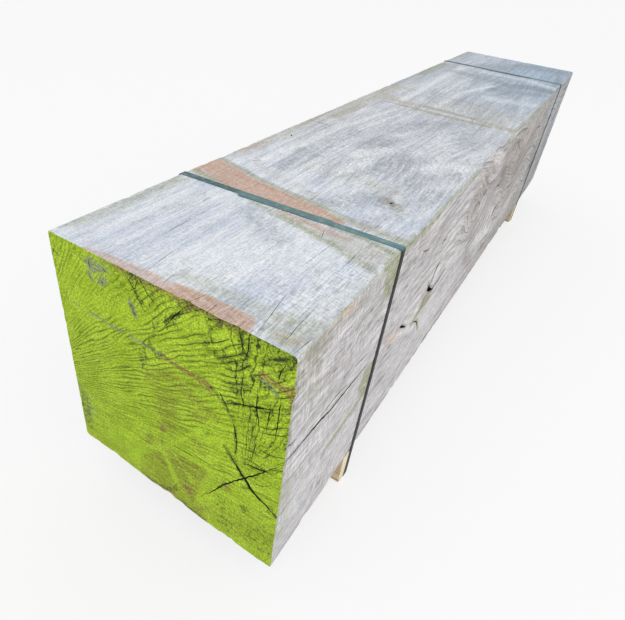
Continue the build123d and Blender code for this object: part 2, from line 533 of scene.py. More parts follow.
def makeCutters():
    rng = random.Random(cutting["seed"])
    sets = [bmesh.new() for _ in range(cutting["sets"])]
    for face, holes in knotHoles.items():
        for i, hole in enumerate(holes):
            cutKnotHole(sets[4 if i % 2 == 0 else 1], faces[face], *hole, rng)
    for face, checks in mainChecks.items():
        for path, mouth, depth, group in checks:
            cutCheck(sets[group], faces[face], path, mouth, depth, rng)
    for face, (count, acrossRange, alongRange, lengths, mouths) in fineChecks.items():
        for _ in range(count):
            across = rng.uniform(*acrossRange)
            along = rng.uniform(*alongRange)
            length = rng.uniform(*lengths)
            slant = rng.uniform(-cutting["fineSlant"], cutting["fineSlant"]) * length
            end = min(along + length, alongRange[1])
            path = [(across, along), (across + slant, end)]
            if face != "top":
                path = [(v, u) for u, v in path]
            mouth, depth = rng.uniform(*mouths), rng.uniform(*cutting["fineDepths"])
            cutCheck(sets[cutting["fineSet"]], faces[face], path, mouth, depth, rng)
    objects = []
    for i, bm in enumerate(sets):
        bmesh.ops.recalc_face_normals(bm, faces=bm.faces)
        for face in bm.faces:
            face.material_index = 1
        objects.append(meshObject(f"checkCutter{i}", bm))
    return objects


def cutWith(obj, cutters):
    for cutter in cutters:
        cut = obj.modifiers.new(cutter.name, "BOOLEAN")
        cut.operation = "DIFFERENCE"
        cut.object = cutter
        cut.solver = "MANIFOLD"
        cut.material_mode = "TRANSFER"
    applyAll(obj)
    for cutter in cutters:
        bpy.data.objects.remove(cutter)


def applyAll(obj):
    depsgraph = bpy.context.evaluated_depsgraph_get()
    mesh = bpy.data.meshes.new_from_object(obj.evaluated_get(depsgraph))
    obj.modifiers.clear()
    obj.data = mesh


# Stains, painted on the faces as strokes by layer: path, reach each side, strength

stains = {
    "top": {
        "rust": [
            ([(-248, 450), (-188, 434), (-125, 416), (-62, 406), (0, 400), (62, 391), (110, 376),
              (130, 366), (110, 352), (0, 344), (-100, 336), (-169, 350), (-212, 366),
              (-248, 384)], 26, 1.0, "area"),
            ([(-252, 392), (-212, 372), (-160, 352), (-110, 340), (-252, 352)], 26, 0.55, "area"),
            ([(-172, -4), (-162, 8), (-94, 18), (0, 24), (75, 30), (131, 31), (162, 29), (170, 12),
              (172, -4)], 8, 0.62, "area"),
            ([(10, -6), (20, 24), (75, 31), (131, 32), (162, 30), (168, 12), (168, -6)], 14, 1.0, "area"),
            ([(-20, 324), (60, 312), (150, 304), (170, 322), (60, 332), (0, 332)], 24, 0.6, "area"),
            ([(208, 22), (234, 28)], 20, 0.42), ([(75, 558), (110, 572), (150, 566)], 20, 0.2),
            ([(-246, 530), (-228, 600)], 26, 0.45), ([(153, 516), (163, 504)], 13, 0.3),
        ],
        "ochre": [
            ([(-254, 400), (-212, 372), (-110, 340), (-254, 336)], 24, 0.5, "area"),
            ([(75, 558), (110, 572), (150, 566)], 24, 0.4),
            ([(165, -4), (180, 40), (205, 90), (225, 200), (235, 300), (252, 330),
              (252, -4)], 80, 0.42, "area"),
            ([(-10, 334), (0, 300), (60, 290), (150, 274), (240, 242), (252, 336)], 44, 0.62, "area"),
            ([(90, 368), (120, 400), (252, 396), (252, 362), (120, 362)], 26, 0.48, "area"),
            ([(-10, 560), (60, 580), (120, 560)], 44, 0.4), ([(-90, 520), (-40, 600)], 40, 0.34),
            ([(-254, 455), (-216, 470), (-214, 640), (-218, 900), (-185, 1200), (-185, 1440),
              (-254, 1500)], 70, 0.62, "area"), ([(-206, 930), (-202, 1120)], 26, 0.75),
            ([(-70, 1210), (60, 1196), (236, 1205), (236, 1410), (60, 1470),
              (-50, 1430)], 110, 0.4, "area"), ([(-110, 1200), (20, 1196), (180, 1200)], 44, 0.4),
            ([(-244, 1330), (-150, 1250), (0, 1262), (120, 1250), (236, 1236)], 38, 0.72),
            ([(-240, 1420), (-170, 1430)], 40, 0.6), ([(-160, 480), (-60, 450), (60, 420)], 26, 0.4),
            ([(140, 520), (176, 500)], 26, 0.8), ([(152, 517), (164, 503)], 17, 1.0),
        ],
        "algae": [
            ([(-60, 322), (44, 303), (100, 293), (150, 281), (200, 262), (247, 250)], 15, 0.62),
            ([(20, 309), (60, 300), (110, 290), (156, 279)], 8, 0.95),
            ([(110, 341), (160, 340), (212, 334), (254, 322)], 13, 0.85),
            ([(-248, 458), (-188, 442), (-125, 424), (-62, 413), (0, 407), (62, 398),
              (120, 390)], 11, 0.75), ([(90, 384), (180, 380), (252, 376)], 22, 0.5),
            ([(-252, 366), (-200, 352), (-150, 344)], 16, 0.6),
            ([(-252, 20), (-215, 40), (-208, 150), (-210, 320), (-254, 322)], 50, 0.62, "area"),
            ([(-246, 30), (-244, 310)], 18, 0.6),
            ([(-254, 620), (-232, 640), (-228, 900), (-254, 900)], 30, 0.4, "area"),
            ([(-254, 1490), (-220, 1560), (-206, 1800), (-206, 2050), (-216, 2400),
              (-254, 2400)], 60, 0.45, "area"), ([(-240, 1700), (-232, 1980)], 44, 0.8),
            ([(-246, 2100), (-240, 2390)], 34, 0.55),
            ([(-10, 28), (0, 62), (60, 70), (150, 66), (252, 90), (252, -4), (190, -4),
              (172, 34)], 44, 0.54, "area"), ([(249, 10), (249, 150), (249, 240)], 8, 0.5),
            ([(250, 290), (250, 330), (250, 420)], 14, 0.85),
            ([(250, 440), (250, 700), (250, 900)], 6, 0.45), ([(250, 1200), (250, 1600)], 16, 0.5),
            ([(-60, 1206), (80, 1206), (236, 1228)], 26, 0.42),
        ],
        "sootAndShade": [
            ([(-50, 1266), (30, 1266), (110, 1258)], 13, 0.78),
            ([(-60, 1432), (0, 1436), (90, 1430)], 15, 0.5),
            ([(40, 404), (80, 440), (110, 500), (160, 500)], 56, 0.6), ([(-30, 780), (0, 880)], 60, 0.55),
            ([(60, 630), (80, 720), (110, 790)], 54, 0.5), ([(150, 400), (190, 470), (210, 620)], 44, 0.45),
            ([(-45, 288), (20, 250), (60, 235)], 44, 0.5), ([(-112, 500), (-114, 570)], 20, 0.6),
            ([(-137, 620), (-128, 680)], 22, 0.5), ([(20, 560), (60, 640)], 30, 0.4),
            ([(-158, 110), (-154, 280)], 18, 0.42), ([(-98, 120), (-100, 270)], 12, 0.36),
            ([(-60, 120), (-58, 290)], 12, 0.3), ([(-92, 600), (-117, 746), (-90, 860)], 46, 0.42),
            ([(-30, 960), (30, 1080), (110, 1150)], 70, 0.5), ([(120, 1080), (180, 980)], 70, 0.5),
            ([(110, 1690), (130, 1780)], 60, 0.55), ([(105, 1830), (160, 1880), (230, 1870)], 66, 0.95),
            ([(150, 1740), (226, 1790)], 56, 0.6), ([(-140, 1880), (60, 1850)], 66, 0.55),
            ([(-60, 2120), (60, 2300), (220, 2320)], 110, 0.6),
            ([(-160, 1212), (20, 1214), (170, 1212)], 13, 0.78),
            ([(-140, 402), (-60, 396), (10, 392)], 8, 0.7),
            ([(-248, 452), (-188, 438), (-125, 420), (-62, 409), (0, 402), (62, 394)], 6, 0.6),
            ([(58, 35), (131, 37), (174, 34), (182, 8)], 7, 0.45), ([(150, 640), (200, 760)], 60, 0.45),
            ([(-170, 8), (-94, 21), (0, 28)], 4, 0.35), ([(-40, 333), (100, 330)], 7, 0.3),
            ([(152, 516), (166, 504)], 11, 0.9), ([(154, 520), (162, 510), (158, 500)], 9, 1.0),
            ([(-178, 492), (-172, 502)], 7, 0.8), ([(0, 440), (5, 438)], 4, 1.0),
        ],
        "chalk": [
            ([(-130, 50), (-128, 300)], 14, 0.7), ([(-78, 50), (-76, 290)], 14, 0.6),
            ([(-185, 60), (-186, 300)], 12, 0.6), ([(20, 80), (60, 150), (110, 220)], 110, 0.75),
            ([(-15, 700), (-6, 745), (12, 790)], 30, 0.95), ([(160, 745), (180, 780), (200, 815)], 46, 0.9),
            ([(0, 580), (20, 690)], 34, 0.75), ([(-165, 470), (-150, 700), (-160, 900)], 32, 0.6),
            ([(-80, 470), (-60, 600)], 40, 0.4), ([(-150, 850), (-130, 1000), (-98, 1200)], 13, 0.85),
            ([(-112, 900), (-72, 1120)], 11, 0.7), ([(-12, 880), (26, 1000), (48, 1110)], 13, 0.7),
            ([(-22, 1262), (-12, 1560), (40, 1760)], 18, 0.9),
            ([(-130, 1270), (-142, 1580), (-150, 2000)], 26, 0.8), ([(-70, 1500), (-60, 1800)], 26, 0.6),
            ([(90, 1560), (220, 1600)], 60, 0.5), ([(-60, 1990), (120, 2000), (230, 1950)], 50, 0.6),
            ([(-16, 1238), (60, 1239), (134, 1236)], 9, 1.0), ([(-190, 494), (-186, 502)], 9, 0.9),
        ],
        "weave": [
            ([(40, -4), (60, 40), (150, 150), (200, 320), (252, 330), (252, -4)], 80, 1.0, "area"),
            ([(-252, 0), (-225, 0), (-215, 300), (-252, 320)], 50, 0.7, "area"),
            ([(-100, 30), (60, 60), (200, 70)], 50, 0.6), ([(0, 330), (252, 390)], 70, 0.6),
        ],
    },
    "end": {
        "rust": [
            ([(-4, 396), (27, 393), (45, 391), (66, 391), (84, 390), (104, 384)], 7, 1.0),
            ([(80, 390), (94, 391), (102, 384)], 11, 1.0),
            ([(195, 472), (211, 470), (230, 466), (250, 464)], 9, 1.0),
            ([(236, 474), (249, 470), (249, 455), (247, 443)], 12, 1.0), ([(60, 534), (64, 526)], 10, 0.9),
            ([(-90, 534), (-60, 532)], 6, 0.7), ([(-10, 202), (-6, 210)], 11, 0.72),
            ([(46, 69), (52, 65)], 14, 0.78), ([(60, 530), (30, 518), (-20, 526), (-90, 534)], 9, 0.55),
            ([(134, 166), (144, 158)], 12, 0.6), ([(-5, 5), (10, 22)], 12, 0.6),
            ([(66, 24), (98, 50)], 30, 0.34), ([(30, 122), (92, 158)], 30, 0.26),
            ([(-94, 532), (40, 533), (150, 533)], 5, 0.8),
        ],
        "ochre": [
            ([(-30, 330), (-24, 240), (-28, 200), (20, 190), (40, 260), (36, 330)], 50, 0.66, "area"),
            ([(80, 336), (110, 322), (70, 296)], 26, 0.6), ([(60, 240), (86, 214)], 22, 0.6),
            ([(-85, 0), (-80, 60), (-55, 120), (-52, 166), (0, 172), (60, 168), (112, 172), (100, 110),
              (70, 60), (104, 0)], 36, 1.0, "area"), ([(-60, 8), (30, 10)], 20, 0.9),
            ([(0, 340), (60, 372), (100, 372)], 20, 0.5), ([(-120, 440), (-90, 500)], 40, 0.3),
            ([(150, 60), (220, 100), (250, 60)], 90, 0.48), ([(-30, 330), (20, 360), (60, 340)], 34, 0.6),
            ([(-240, 20), (-60, 12), (60, 20)], 26, 0.4), ([(-220, 40), (-120, 40)], 60, 0.4),
        ],
        "algae": [
            ([(-30, 176), (-14, 140), (4, 108), (22, 62)], 13, 1.0),
            ([(-86, 72), (-50, 110), (-8, 152)], 10, 0.9),
            ([(-8, 152), (40, 214), (90, 280), (112, 316)], 9, 0.9),
            ([(6, 170), (50, 172), (105, 178), (149, 190)], 9, 0.9),
            ([(106, 168), (92, 120), (72, 36)], 13, 1.0), ([(-28, 140), (-72, 96), (-110, 40)], 16, 0.8),
            ([(20, 150), (50, 122), (60, 100)], 8, 0.7), ([(-190, 60), (-120, 120), (-90, 60)], 44, 0.6),
            ([(-100, 100), (-70, 180)], 30, 0.6), ([(60, 380), (130, 340), (140, 240)], 30, 0.45),
            ([(-180, 430), (-100, 450), (-60, 420)], 40, 0.6),
        ],
        "sootAndShade": [
            ([(61, 532), (48, 512), (32, 490), (17, 472)], 11, 1.0), ([(17, 485), (17, 462)], 7, 0.95),
            ([(70, 535), (40, 520), (0, 528), (-57, 534)], 16, 0.85),
            ([(-29, 473), (-45, 500), (-60, 525), (-40, 532)], 9, 0.75),
            ([(10, 530), (-8, 512), (-16, 490)], 8, 0.7),
            ([(-4, 470), (-10, 440), (-40, 380), (-44, 350)], 13, 0.62),
            ([(-18, 397), (-8, 390), (4, 398)], 11, 0.75), ([(-52, 378), (-38, 366), (-48, 346)], 15, 0.7),
            ([(85, 532), (150, 528), (176, 526), (202, 524), (228, 527), (248, 524)], 20, 1.0),
            ([(103, 520), (104, 492), (96, 470)], 13, 0.7), ([(150, 530), (158, 510), (158, 484)], 9, 1.0),
            ([(171, 528), (172, 505), (166, 470)], 9, 1.0),
            ([(114, 463), (129, 458), (141, 468), (160, 466), (172, 472)], 12, 1.0),
            ([(199, 498), (214, 513), (234, 514), (226, 488)], 15, 0.95),
            ([(183, 454), (192, 460), (199, 451), (208, 456)], 12, 1.0),
            ([(146, 419), (170, 435), (151, 410), (170, 430)], 14, 1.0),
            ([(139, 379), (160, 388), (192, 402), (217, 413)], 7, 0.95),
            ([(105, 388), (125, 374), (139, 362), (148, 345)], 8, 0.8),
            ([(154, 330), (158, 300), (158, 266)], 6, 0.8), ([(246, 395), (247, 381), (248, 350)], 10, 1.0),
            ([(247, 447), (245, 425)], 7, 1.0), ([(-156, 516), (-150, 508)], 5, 1.0),
            ([(-143, 522), (-139, 516)], 4, 1.0), ([(-119, 515), (-113, 509)], 4, 1.0),
            ([(-106, 521), (-103, 518)], 3.5, 0.9), ([(-157, 486), (-150, 480)], 5, 0.8),
            ([(-126, 484), (-120, 478)], 6, 0.7), ([(-64, 470), (-56, 458), (-52, 450)], 6, 0.7),
            ([(181, 127), (178, 129), (185, 134)], 11, 0.75), ([(175, 140), (180, 118)], 10, 0.5),
            ([(137, 268), (150, 250), (160, 238), (178, 217), (191, 200)], 10, 1.0),
            ([(191, 202), (210, 189), (228, 182), (252, 166)], 6, 0.95),
            ([(178, 217), (150, 181), (132, 156), (113, 122)], 4, 0.7),
            ([(178, 217), (205, 250), (236, 290)], 4, 0.7), ([(178, 257), (200, 262), (222, 269)], 6, 0.9),
            ([(180, 258), (196, 240), (184, 232)], 16, 0.6),
            ([(186, 280), (192, 310), (186, 345)], 20, 0.62), ([(206, 270), (226, 292)], 15, 0.5),
            ([(176, 360), (190, 385), (205, 400)], 20, 0.6),
            ([(-240, 110), (-230, 150), (-236, 60)], 26, 0.6), ([(-190, 110), (-180, 60)], 26, 0.36),
            ([(-236, 500), (-220, 520)], 20, 0.4), ([(-60, 4), (-10, 14), (14, 38), (20, 58)], 9, 0.8),
            ([(20, 0), (60, 6), (90, 4)], 10, 0.8), ([(130, 455), (148, 440)], 12, 0.6),
            ([(140, 40), (220, 60), (240, 130)], 60, 0.42), ([(120, 100), (170, 60)], 44, 0.34),
        ],
        "chalk": [
            ([(-237, 398), (-196, 399)], 4, 0.6),
            ([(-170, 399), (-157, 399), (-115, 397), (-86, 398)], 5, 0.8),
            ([(-70, 398), (-30, 398), (2, 397)], 5, 0.85),
            ([(-158, 520), (-145, 506), (-118, 518), (-104, 524)], 18, 1.0),
            ([(-130, 482), (-118, 490)], 12, 0.8), ([(-156, 490), (-150, 478)], 9, 0.7),
            ([(-62, 474), (-56, 462), (-51, 451)], 9, 1.0), ([(199, 462), (212, 456), (224, 450)], 8, 0.75),
            ([(-240, 160), (-214, 120), (-236, 80)], 26, 0.42),
        ],
        "sawn": [
            ([(-254, 160), (-254, 330), (-160, 400), (-60, 440), (20, 500), (120, 535), (180, 480),
              (160, 320), (120, 280), (60, 250), (0, 215), (-120, 165)], 70, 1.0, "area"),
            ([(-254, 100), (-120, 130), (20, 160), (160, 210), (250, 240)], 90, 0.6),
            ([(-240, 480), (-100, 500), (0, 520)], 110, 0.45), ([(120, 360), (240, 480)], 120, 0.6),
            ([(0, 60), (200, 90)], 150, 0.22),
        ],
        "crackle": [
            ([(150, 240), (160, 330), (150, 400), (110, 450), (100, 540), (254, 540), (254, 240),
              (210, 232)], 50, 1.0, "area"), ([(-50, 510), (20, 500), (60, 520)], 50, 0.5),
        ],
    },
    "right": {
        "rust": [
            ([(136, 526), (164, 522)], 13, 0.85), ([(400, 290), (424, 272), (462, 262)], 18, 0.62),
            ([(256, 12), (282, 20)], 18, 0.4), ([(470, 240), (520, 222)], 16, 0.3),
        ],
        "ochre": [
            ([(0, 540), (0, 440), (60, 470), (140, 516), (150, 540)], 36, 0.6, "area"),
            ([(630, 250), (700, 238)], 30, 0.8), ([(20, 500), (100, 516), (220, 512)], 36, 0.55),
            ([(60, 420), (200, 390)], 30, 0.35), ([(590, 300), (640, 330), (700, 340)], 30, 0.4),
            ([(850, 340), (850, 500), (1000, 520), (1100, 470), (1000, 330)], 90, 0.7, "area"),
            ([(1150, 522), (1300, 505), (1560, 475), (1600, 280), (1300, 330),
              (1180, 420)], 90, 0.6, "area"), ([(1900, 400), (2000, 300)], 80, 0.6),
            ([(380, 470), (500, 480), (620, 470)], 44, 0.45),
            ([(470, 250), (540, 262), (600, 290), (680, 292)], 36, 0.5),
        ],
        "algae": [
            ([(272, 540), (292, 505), (302, 452), (326, 440), (350, 470), (356, 540)], 28, 1.0, "area"),
            ([(290, 533), (350, 533)], 30, 1.0), ([(304, 500), (340, 500)], 24, 1.0),
            ([(292, 284), (284, 240), (300, 190), (344, 182), (350, 284)], 28, 0.85, "area"),
            ([(160, 177), (220, 182), (280, 184), (330, 192)], 14, 0.9),
            ([(370, 526), (480, 522), (560, 528)], 24, 0.7),
            ([(560, 532), (700, 531), (850, 531)], 16, 0.62), ([(1100, 531), (1700, 531)], 14, 0.5),
            ([(573, 222), (640, 212), (690, 228), (690, 244), (640, 246), (600, 238)], 22, 0.85, "area"),
            ([(656, 262), (638, 240), (627, 224), (613, 214), (577, 218)], 16, 1.0),
            ([(602, 221), (640, 190), (666, 147), (674, 136)], 9, 0.9),
            ([(2, 100), (3, 300), (2, 520)], 9, 0.75),
            ([(0, 540), (0, 470), (60, 490), (140, 520), (256, 524), (256, 540)], 30, 0.42, "area"),
            ([(60, 500), (60, 420)], 44, 0.42), ([(16, 240), (30, 150), (20, 100)], 30, 0.5),
        ],
        "sootAndShade": [
            ([(4, 316), (20, 315), (67, 312), (120, 307), (143, 300), (220, 298), (309, 293)], 5, 0.9),
            ([(70, 470), (180, 470), (300, 476)], 30, 0.42), ([(81, 364), (171, 345), (260, 352)], 16, 0.4),
            ([(109, 425), (190, 430), (300, 430)], 34, 0.46), ([(230, 400), (310, 396)], 14, 0.42),
            ([(4, 480), (10, 462)], 9, 0.9), ([(4, 380), (10, 356), (4, 345)], 10, 0.9),
            ([(2, 446), (12, 430)], 10, 0.6), ([(600, 424), (690, 420)], 20, 0.4),
            ([(380, 404), (560, 408), (650, 402)], 14, 0.4),
            ([(376, 440), (480, 446), (610, 452)], 64, 0.42),
            ([(140, 446), (200, 448), (250, 452)], 34, 0.5),
            ([(1180, 508), (1300, 474), (1450, 452)], 50, 0.42), ([(1212, 431), (1315, 364)], 46, 0.6),
            ([(1508, 355), (1560, 290)], 70, 0.5), ([(929, 361), (985, 400), (1048, 300)], 16, 0.6),
            ([(916, 300), (950, 320), (970, 280)], 16, 0.6),
            ([(1050, 400), (1110, 370), (1124, 320), (1090, 290)], 15, 0.6),
            ([(1270, 360), (1310, 372)], 22, 0.6), ([(860, 440), (940, 430), (1033, 410)], 26, 0.5),
            ([(960, 480), (1040, 466), (1100, 472)], 20, 0.5),
            ([(1396, 240), (1377, 206), (1322, 174)], 15, 0.9),
            ([(644, 302), (660, 278), (708, 250)], 16, 0.9),
            ([(656, 262), (646, 250), (634, 236), (620, 222), (600, 216)], 10, 0.75),
            ([(668, 296), (676, 314), (690, 332)], 10, 0.8), ([(660, 290), (676, 318), (704, 337)], 8, 0.6),
            ([(704, 262), (773, 267), (803, 264)], 8, 0.6), ([(478, 268), (504, 256), (530, 240)], 9, 0.8),
            ([(500, 462), (520, 450), (553, 442)], 9, 0.6), ([(610, 206), (633, 188), (657, 160)], 6, 0.8),
            ([(664, 404), (697, 405)], 8, 0.7), ([(20, 60), (200, 76), (330, 70)], 26, 0.3),
            # along the lower edge: painted shade, darker towards the bottom
            ([(27, 5), (200, 6), (500, 8), (780, 6)], 8, 0.5), ([(780, 10), (960, 12)], 16, 1.0),
            ([(800, 4), (940, 4)], 9, 1.0), ([(1000, 8), (1500, 10), (2300, 10)], 16, 0.6),
            ([(1900, 300), (2000, 200)], 90, 0.5), ([(2066, 100), (2080, 500)], 16, 0.7),
            ([(2250, 200), (2300, 480)], 40, 0.6),
        ],
        "chalk": [
            ([(30, 150), (150, 130), (260, 120)], 90, 0.62),
            ([(400, 110), (520, 120), (630, 100)], 80, 0.45),
            ([(1200, 150), (1420, 160), (1680, 130)], 90, 0.45),
            ([(680, 150), (850, 130), (1000, 150)], 80, 0.75), ([(800, 260), (900, 250)], 40, 0.6),
            ([(1130, 190), (1250, 180), (1360, 160)], 40, 0.9),
            ([(1232, 334), (1262, 332), (1291, 334)], 12, 1.0),
            ([(684, 286), (706, 300), (700, 280)], 14, 1.0), ([(486, 246), (520, 228), (560, 220)], 9, 0.9),
            ([(2150, 100), (2200, 500)], 80, 0.35),
        ],
    },
    "left": {
        "ochre": [
            ([(900, 400), (1400, 380)], 60, 0.7),
        ],
        "algae": [
            ([(0, 525), (800, 528), (1600, 526), (2400, 528)], 40, 0.8),
            ([(300, 420), (330, 300)], 30, 0.6), ([(2000, 500), (2080, 300)], 40, 0.6),
        ],
        "sootAndShade": [
            ([(0, 10), (900, 16), (1700, 12), (2400, 14)], 30, 0.6), ([(200, 300), (700, 330)], 40, 0.4),
            ([(660, 250), (740, 270)], 30, 0.6),
        ],
        "chalk": [
            ([(500, 200), (1300, 240)], 50, 0.6),
        ],
    },
    "farEnd": {
        "ochre": [
            ([(-100, 200), (0, 260), (80, 200)], 60, 0.6),
        ],
        "sootAndShade": [
            ([(-200, 530), (0, 528), (200, 530)], 18, 0.8), ([(120, 380), (180, 300), (200, 240)], 30, 0.5),
        ],
        "chalk": [
            ([(-150, 400), (-60, 450)], 50, 0.5),
        ],
    },
}

# the sootAndShade layer holds dark stains, and painted shade along the right side's lower edge
layerNames = ("algae", "rust", "ochre", "sootAndShade", "chalk", "sawn", "weave", "crackle")
skin = {
    "from": 2.5,        # how far under a face the stains begin to end, and over what depth
    "over": 3.0,
    "line": 1.15,       # how full a stroke is on its path
    "outline": 0.5,     # and a filled patch on its outline
}


def faceFields(co):
    # for each face: two measures on it in millimetres, and how far each point lies under it
    x = co[:, 0] / mm
    along = (co[:, 1] - nearEnd) / mm
    up = (co[:, 2] - underside) / mm
    height = postSize.z / mm
    length = postSize.y / mm
    half = postSize.x / mm / 2
    return {
        "top": (x, along, height - up),
        "end": (x, up, along),
        "right": (along, up, half - x),
        "left": (along, up, half + x),
        "farEnd": (x, up, length - along),
    }


def distanceTo(u, v, path):
    best = np.full(len(u), 1e9)
    for (x0, y0), (x1, y1) in zip(path, path[1:]):
        dx, dy = x1 - x0, y1 - y0
        t = np.clip(((u - x0) * dx + (v - y0) * dy) / (dx * dx + dy * dy + 1e-9), 0, 1)
        best = np.minimum(best, np.hypot(u - x0 - t * dx, v - y0 - t * dy))
    return best


def insideOf(u, v, path):
    inside = np.zeros(len(u), dtype=bool)
    for (x0, y0), (x1, y1) in zip(path, path[1:] + path[:1]):
        if y0 != y1:
            crosses = ((y0 > v) != (y1 > v)) & (u < (x1 - x0) * (v - y0) / (y1 - y0) + x0)
            inside ^= crosses
    return inside


def smoothly(share):
    share = np.clip(share, 0, 1)
    return share * share * (3 - 2 * share)


def coverOf(u, v, path, reach, filled):
    if filled:
        away = distanceTo(u, v, path + path[:1])
        return smoothly(skin["outline"] + np.where(insideOf(u, v, path), away, -away) / reach)
    return smoothly(skin["line"] - distanceTo(u, v, path) / reach)


def paintStains(mesh):
    # of the strokes in a layer the strongest counts; the near end has layers of its own
    fields = faceFields(valuesAt(mesh))
    layers = {first + name: np.zeros(len(mesh.vertices)) for name in layerNames for first in ("", "end")}
    for face, byLayer in stains.items():
        u, v, under = fields[face]
        near = np.clip(1 - (under - skin["from"]) / skin["over"], 0, 1)
        first = "end" if face == "end" else ""
        for name, strokes in byLayer.items():
            key = first + name
            for path, reach, strength, *filled in strokes:
                value = strength * coverOf(u, v, path, reach, bool(filled)) * near
                layers[key] = np.maximum(layers[key], value)
    for name, values in layers.items():
        writeValues(mesh, name, values)


# Relief: wear and damage pressed into the post, never outwards

dents = {
    # face: middle across or along, and along or up, reach, depth
    "top": [
        (159, 512, 15, 2.0), (-184, 499, 10, 1.0), (-209, 702, 9, 1.0), (246, 865, 16, 4.0), (3, 440, 5, 1.0),
        (113, 553, 5, 1.0), (-150, 2, 12, 1.2), (40, 1, 10, 1.2), (120, 0, 14, 1.6), (250, 930, 60, 7.0),
        (250, 1020, 50, 6.0), (250, 1100, 50, 6.0), (250, 430, 12, 2.0), (250, 150, 14, 1.6),
        (-250, 560, 20, 2.0),
    ],
    "end": [
        (250, 466, 16, 9.0), (242, 472, 9, 5.0), (252, 296, 12, 4.0), (250, 378, 8, 3.0), (-57, 464, 13, 1.6),
        (-130, 508, 22, 1.4), (94, 389, 11, 2.0), (-6, 207, 8, 1.5), (50, 68, 10, 2.0), (61, 535, 12, 3.0),
        (150, 535, 10, 2.0), (-252, 330, 9, 1.0),
    ],
    "right": [
        (504, 256, 30, 5.0), (621, 200, 22, 2.5), (672, 262, 40, 4.0), (684, 402, 12, 2.0), (7, 346, 10, 3.0),
        (150, 528, 12, 1.5), (1370, 205, 50, 6.0), (930, 532, 60, 9.0), (1050, 524, 50, 8.0),
        (0, 297, 14, 3.0), (1700, 5, 30, 4.0), (1260, 345, 46, 5.0), (990, 470, 40, 4.0),
        (1090, 470, 40, 4.0), (525, 452, 30, 2.0),
    ],
}

lowerEdge = {
    # how far the near end's lower edge is torn or worn up, at places across it
    "worn": [(-250, 11), (-166, 13), (-76, 7), (-29, 2), (71, 0), (250, 0)],
    "torn": [(-78, 0), (-66, 5), (-53, 3), (-38, 9), (-19, 5), (-4, 11), (13, 6), (31, 8), (46, 3),
             (80, 0), (150, 0), (158, 4), (170, 0), (222, 0), (230, 3), (238, 0)],
    "wornReach": 260.0,
    "wornFall": 0.7,
    "tornReach": 26.0,
    "tornFull": 1.6,
    "lift": 40.0,
}

grainKnots = {
    # face: middle along and across the grain, radius that the grain flows round
    "right": [(672, 283, 40), (504, 258, 24), (621, 200, 18), (684, 400, 16), (1410, 150, 50),
              (1950, 360, 90), (190, 420, 24), (60, 130, 22)],
    "top": [(512, 159, 22), (865, 250, 40), (499, -179, 14), (700, 60, 30), (1050, 110, 40), (1700, 60, 50)],
    "left": [(420, 330, 60), (1300, 260, 110), (1900, 400, 70)],
}

grainEyes = {
    # face: middle along and across, reach along and across, lift: the rings close where the lift is steep
    "right": [(1003, 336, 95, 60, 84), (860, 470, 150, 90, -34), (1290, 300, 150, 80, -96),
              (1500, 400, 160, 90, 80), (1120, 440, 120, 50, 46), (684, 340, 60, 40, 8),
              (1720, 240, 150, 90, -60), (190, 440, 90, 50, 20), (525, 450, 40, 24, 14)],
    "top": [(820, 90, 170, 80, 24), (1120, -20, 200, 80, -24), (1500, 60, 200, 80, 24)],
    "left": [(700, 260, 120, 80, 80), (1600, 320, 160, 90, -90)],
}


grainFlow = {
    "drawnOut": 0.35,   # a knot bends the grain further along it than across
    "core": 1.1,
    "seam": 0.5,        # past the wane, where the left side's grain takes over
}


def valuesAt(mesh):
    co = np.zeros(len(mesh.vertices) * 3)
    mesh.vertices.foreach_get("co", co)
    return co.reshape(-1, 3)


def uneven(u, v, sizeU, sizeV, seed):
    return np.array([noise.noise(Vector((a / sizeU, b / sizeV, seed))) for a, b in zip(u, v)])


wear = {
    "reach": 14,            # how far under a face its wear is felt
    # depth, size along each measure, seed
    "broad": (0.45, 170, 170, 0.5),
    "right": (0.35, 120, 11, 20.5),
    "left": (0.35, 120, 11, 20.5),
    "end": (0.3, 16, 13, 30.5),
    # the two faces of an arris and how worn it is
    "arrises": [
        ("top", "right", 1.0), ("top", "left", 1.0), ("low", "right", 1.2), ("top", "end", 0.8),
        ("end", "right", 0.9), ("end", "left", 0.9), ("top", "farEnd", 0.8), ("farEnd", "right", 0.8),
        ("end", "low", 1.2), ("low", "left", 1.2), ("farEnd", "left", 0.8), ("farEnd", "low", 0.8),
    ],
    # reach, chips and wear of the near end's arrises, and of the others
    "nearArris": (7, 1.6, 0.2),
    "otherArris": (14, 5.0, 0.5),
    "leastLoss": 0.25,
    "chips": (19, 60.5, -0.12),         # size, seed, level
    "worn": (90, 40.5, 0.3),
    "diagonal": 0.7,
}

inward = {
    "top": (0, 0, -1), "end": (0, 1, 0), "right": (-1, 0, 0), "left": (1, 0, 0), "farEnd": (0, -1, 0),
    "low": (0, 0, 1),
}


def faceDepth(name, seed, u, v):
    depth = 0
    for kind in ("broad", name):
        if kind in wear:
            deep, sizeU, sizeV, offset = wear[kind]
            depth = depth + deep + deep * uneven(u, v, sizeU, sizeV, seed + offset)
    for u0, v0, reach, deep in dents.get(name, []):
        depth = depth + deep * smoothly(1 - np.hypot(u - u0, v - v0) / reach)
    return depth


def arrisLoss(first, second, share, seed, x, up, along):
    pair = {first, second}
    run = along
    if pair & {"end", "farEnd"}:
        run = up if pair & {"right", "left"} else x
    _, chipped, wornBy = wear["nearArris" if "end" in pair else "otherArris"]

    def patches(kind):
        size, offset, level = wear[kind]
        return np.clip(uneven(run, run * 0, size, size, seed + offset) + level, 0, 1)

    return share * (wear["leastLoss"] + wornBy * patches("worn") + chipped * patches("chips"))


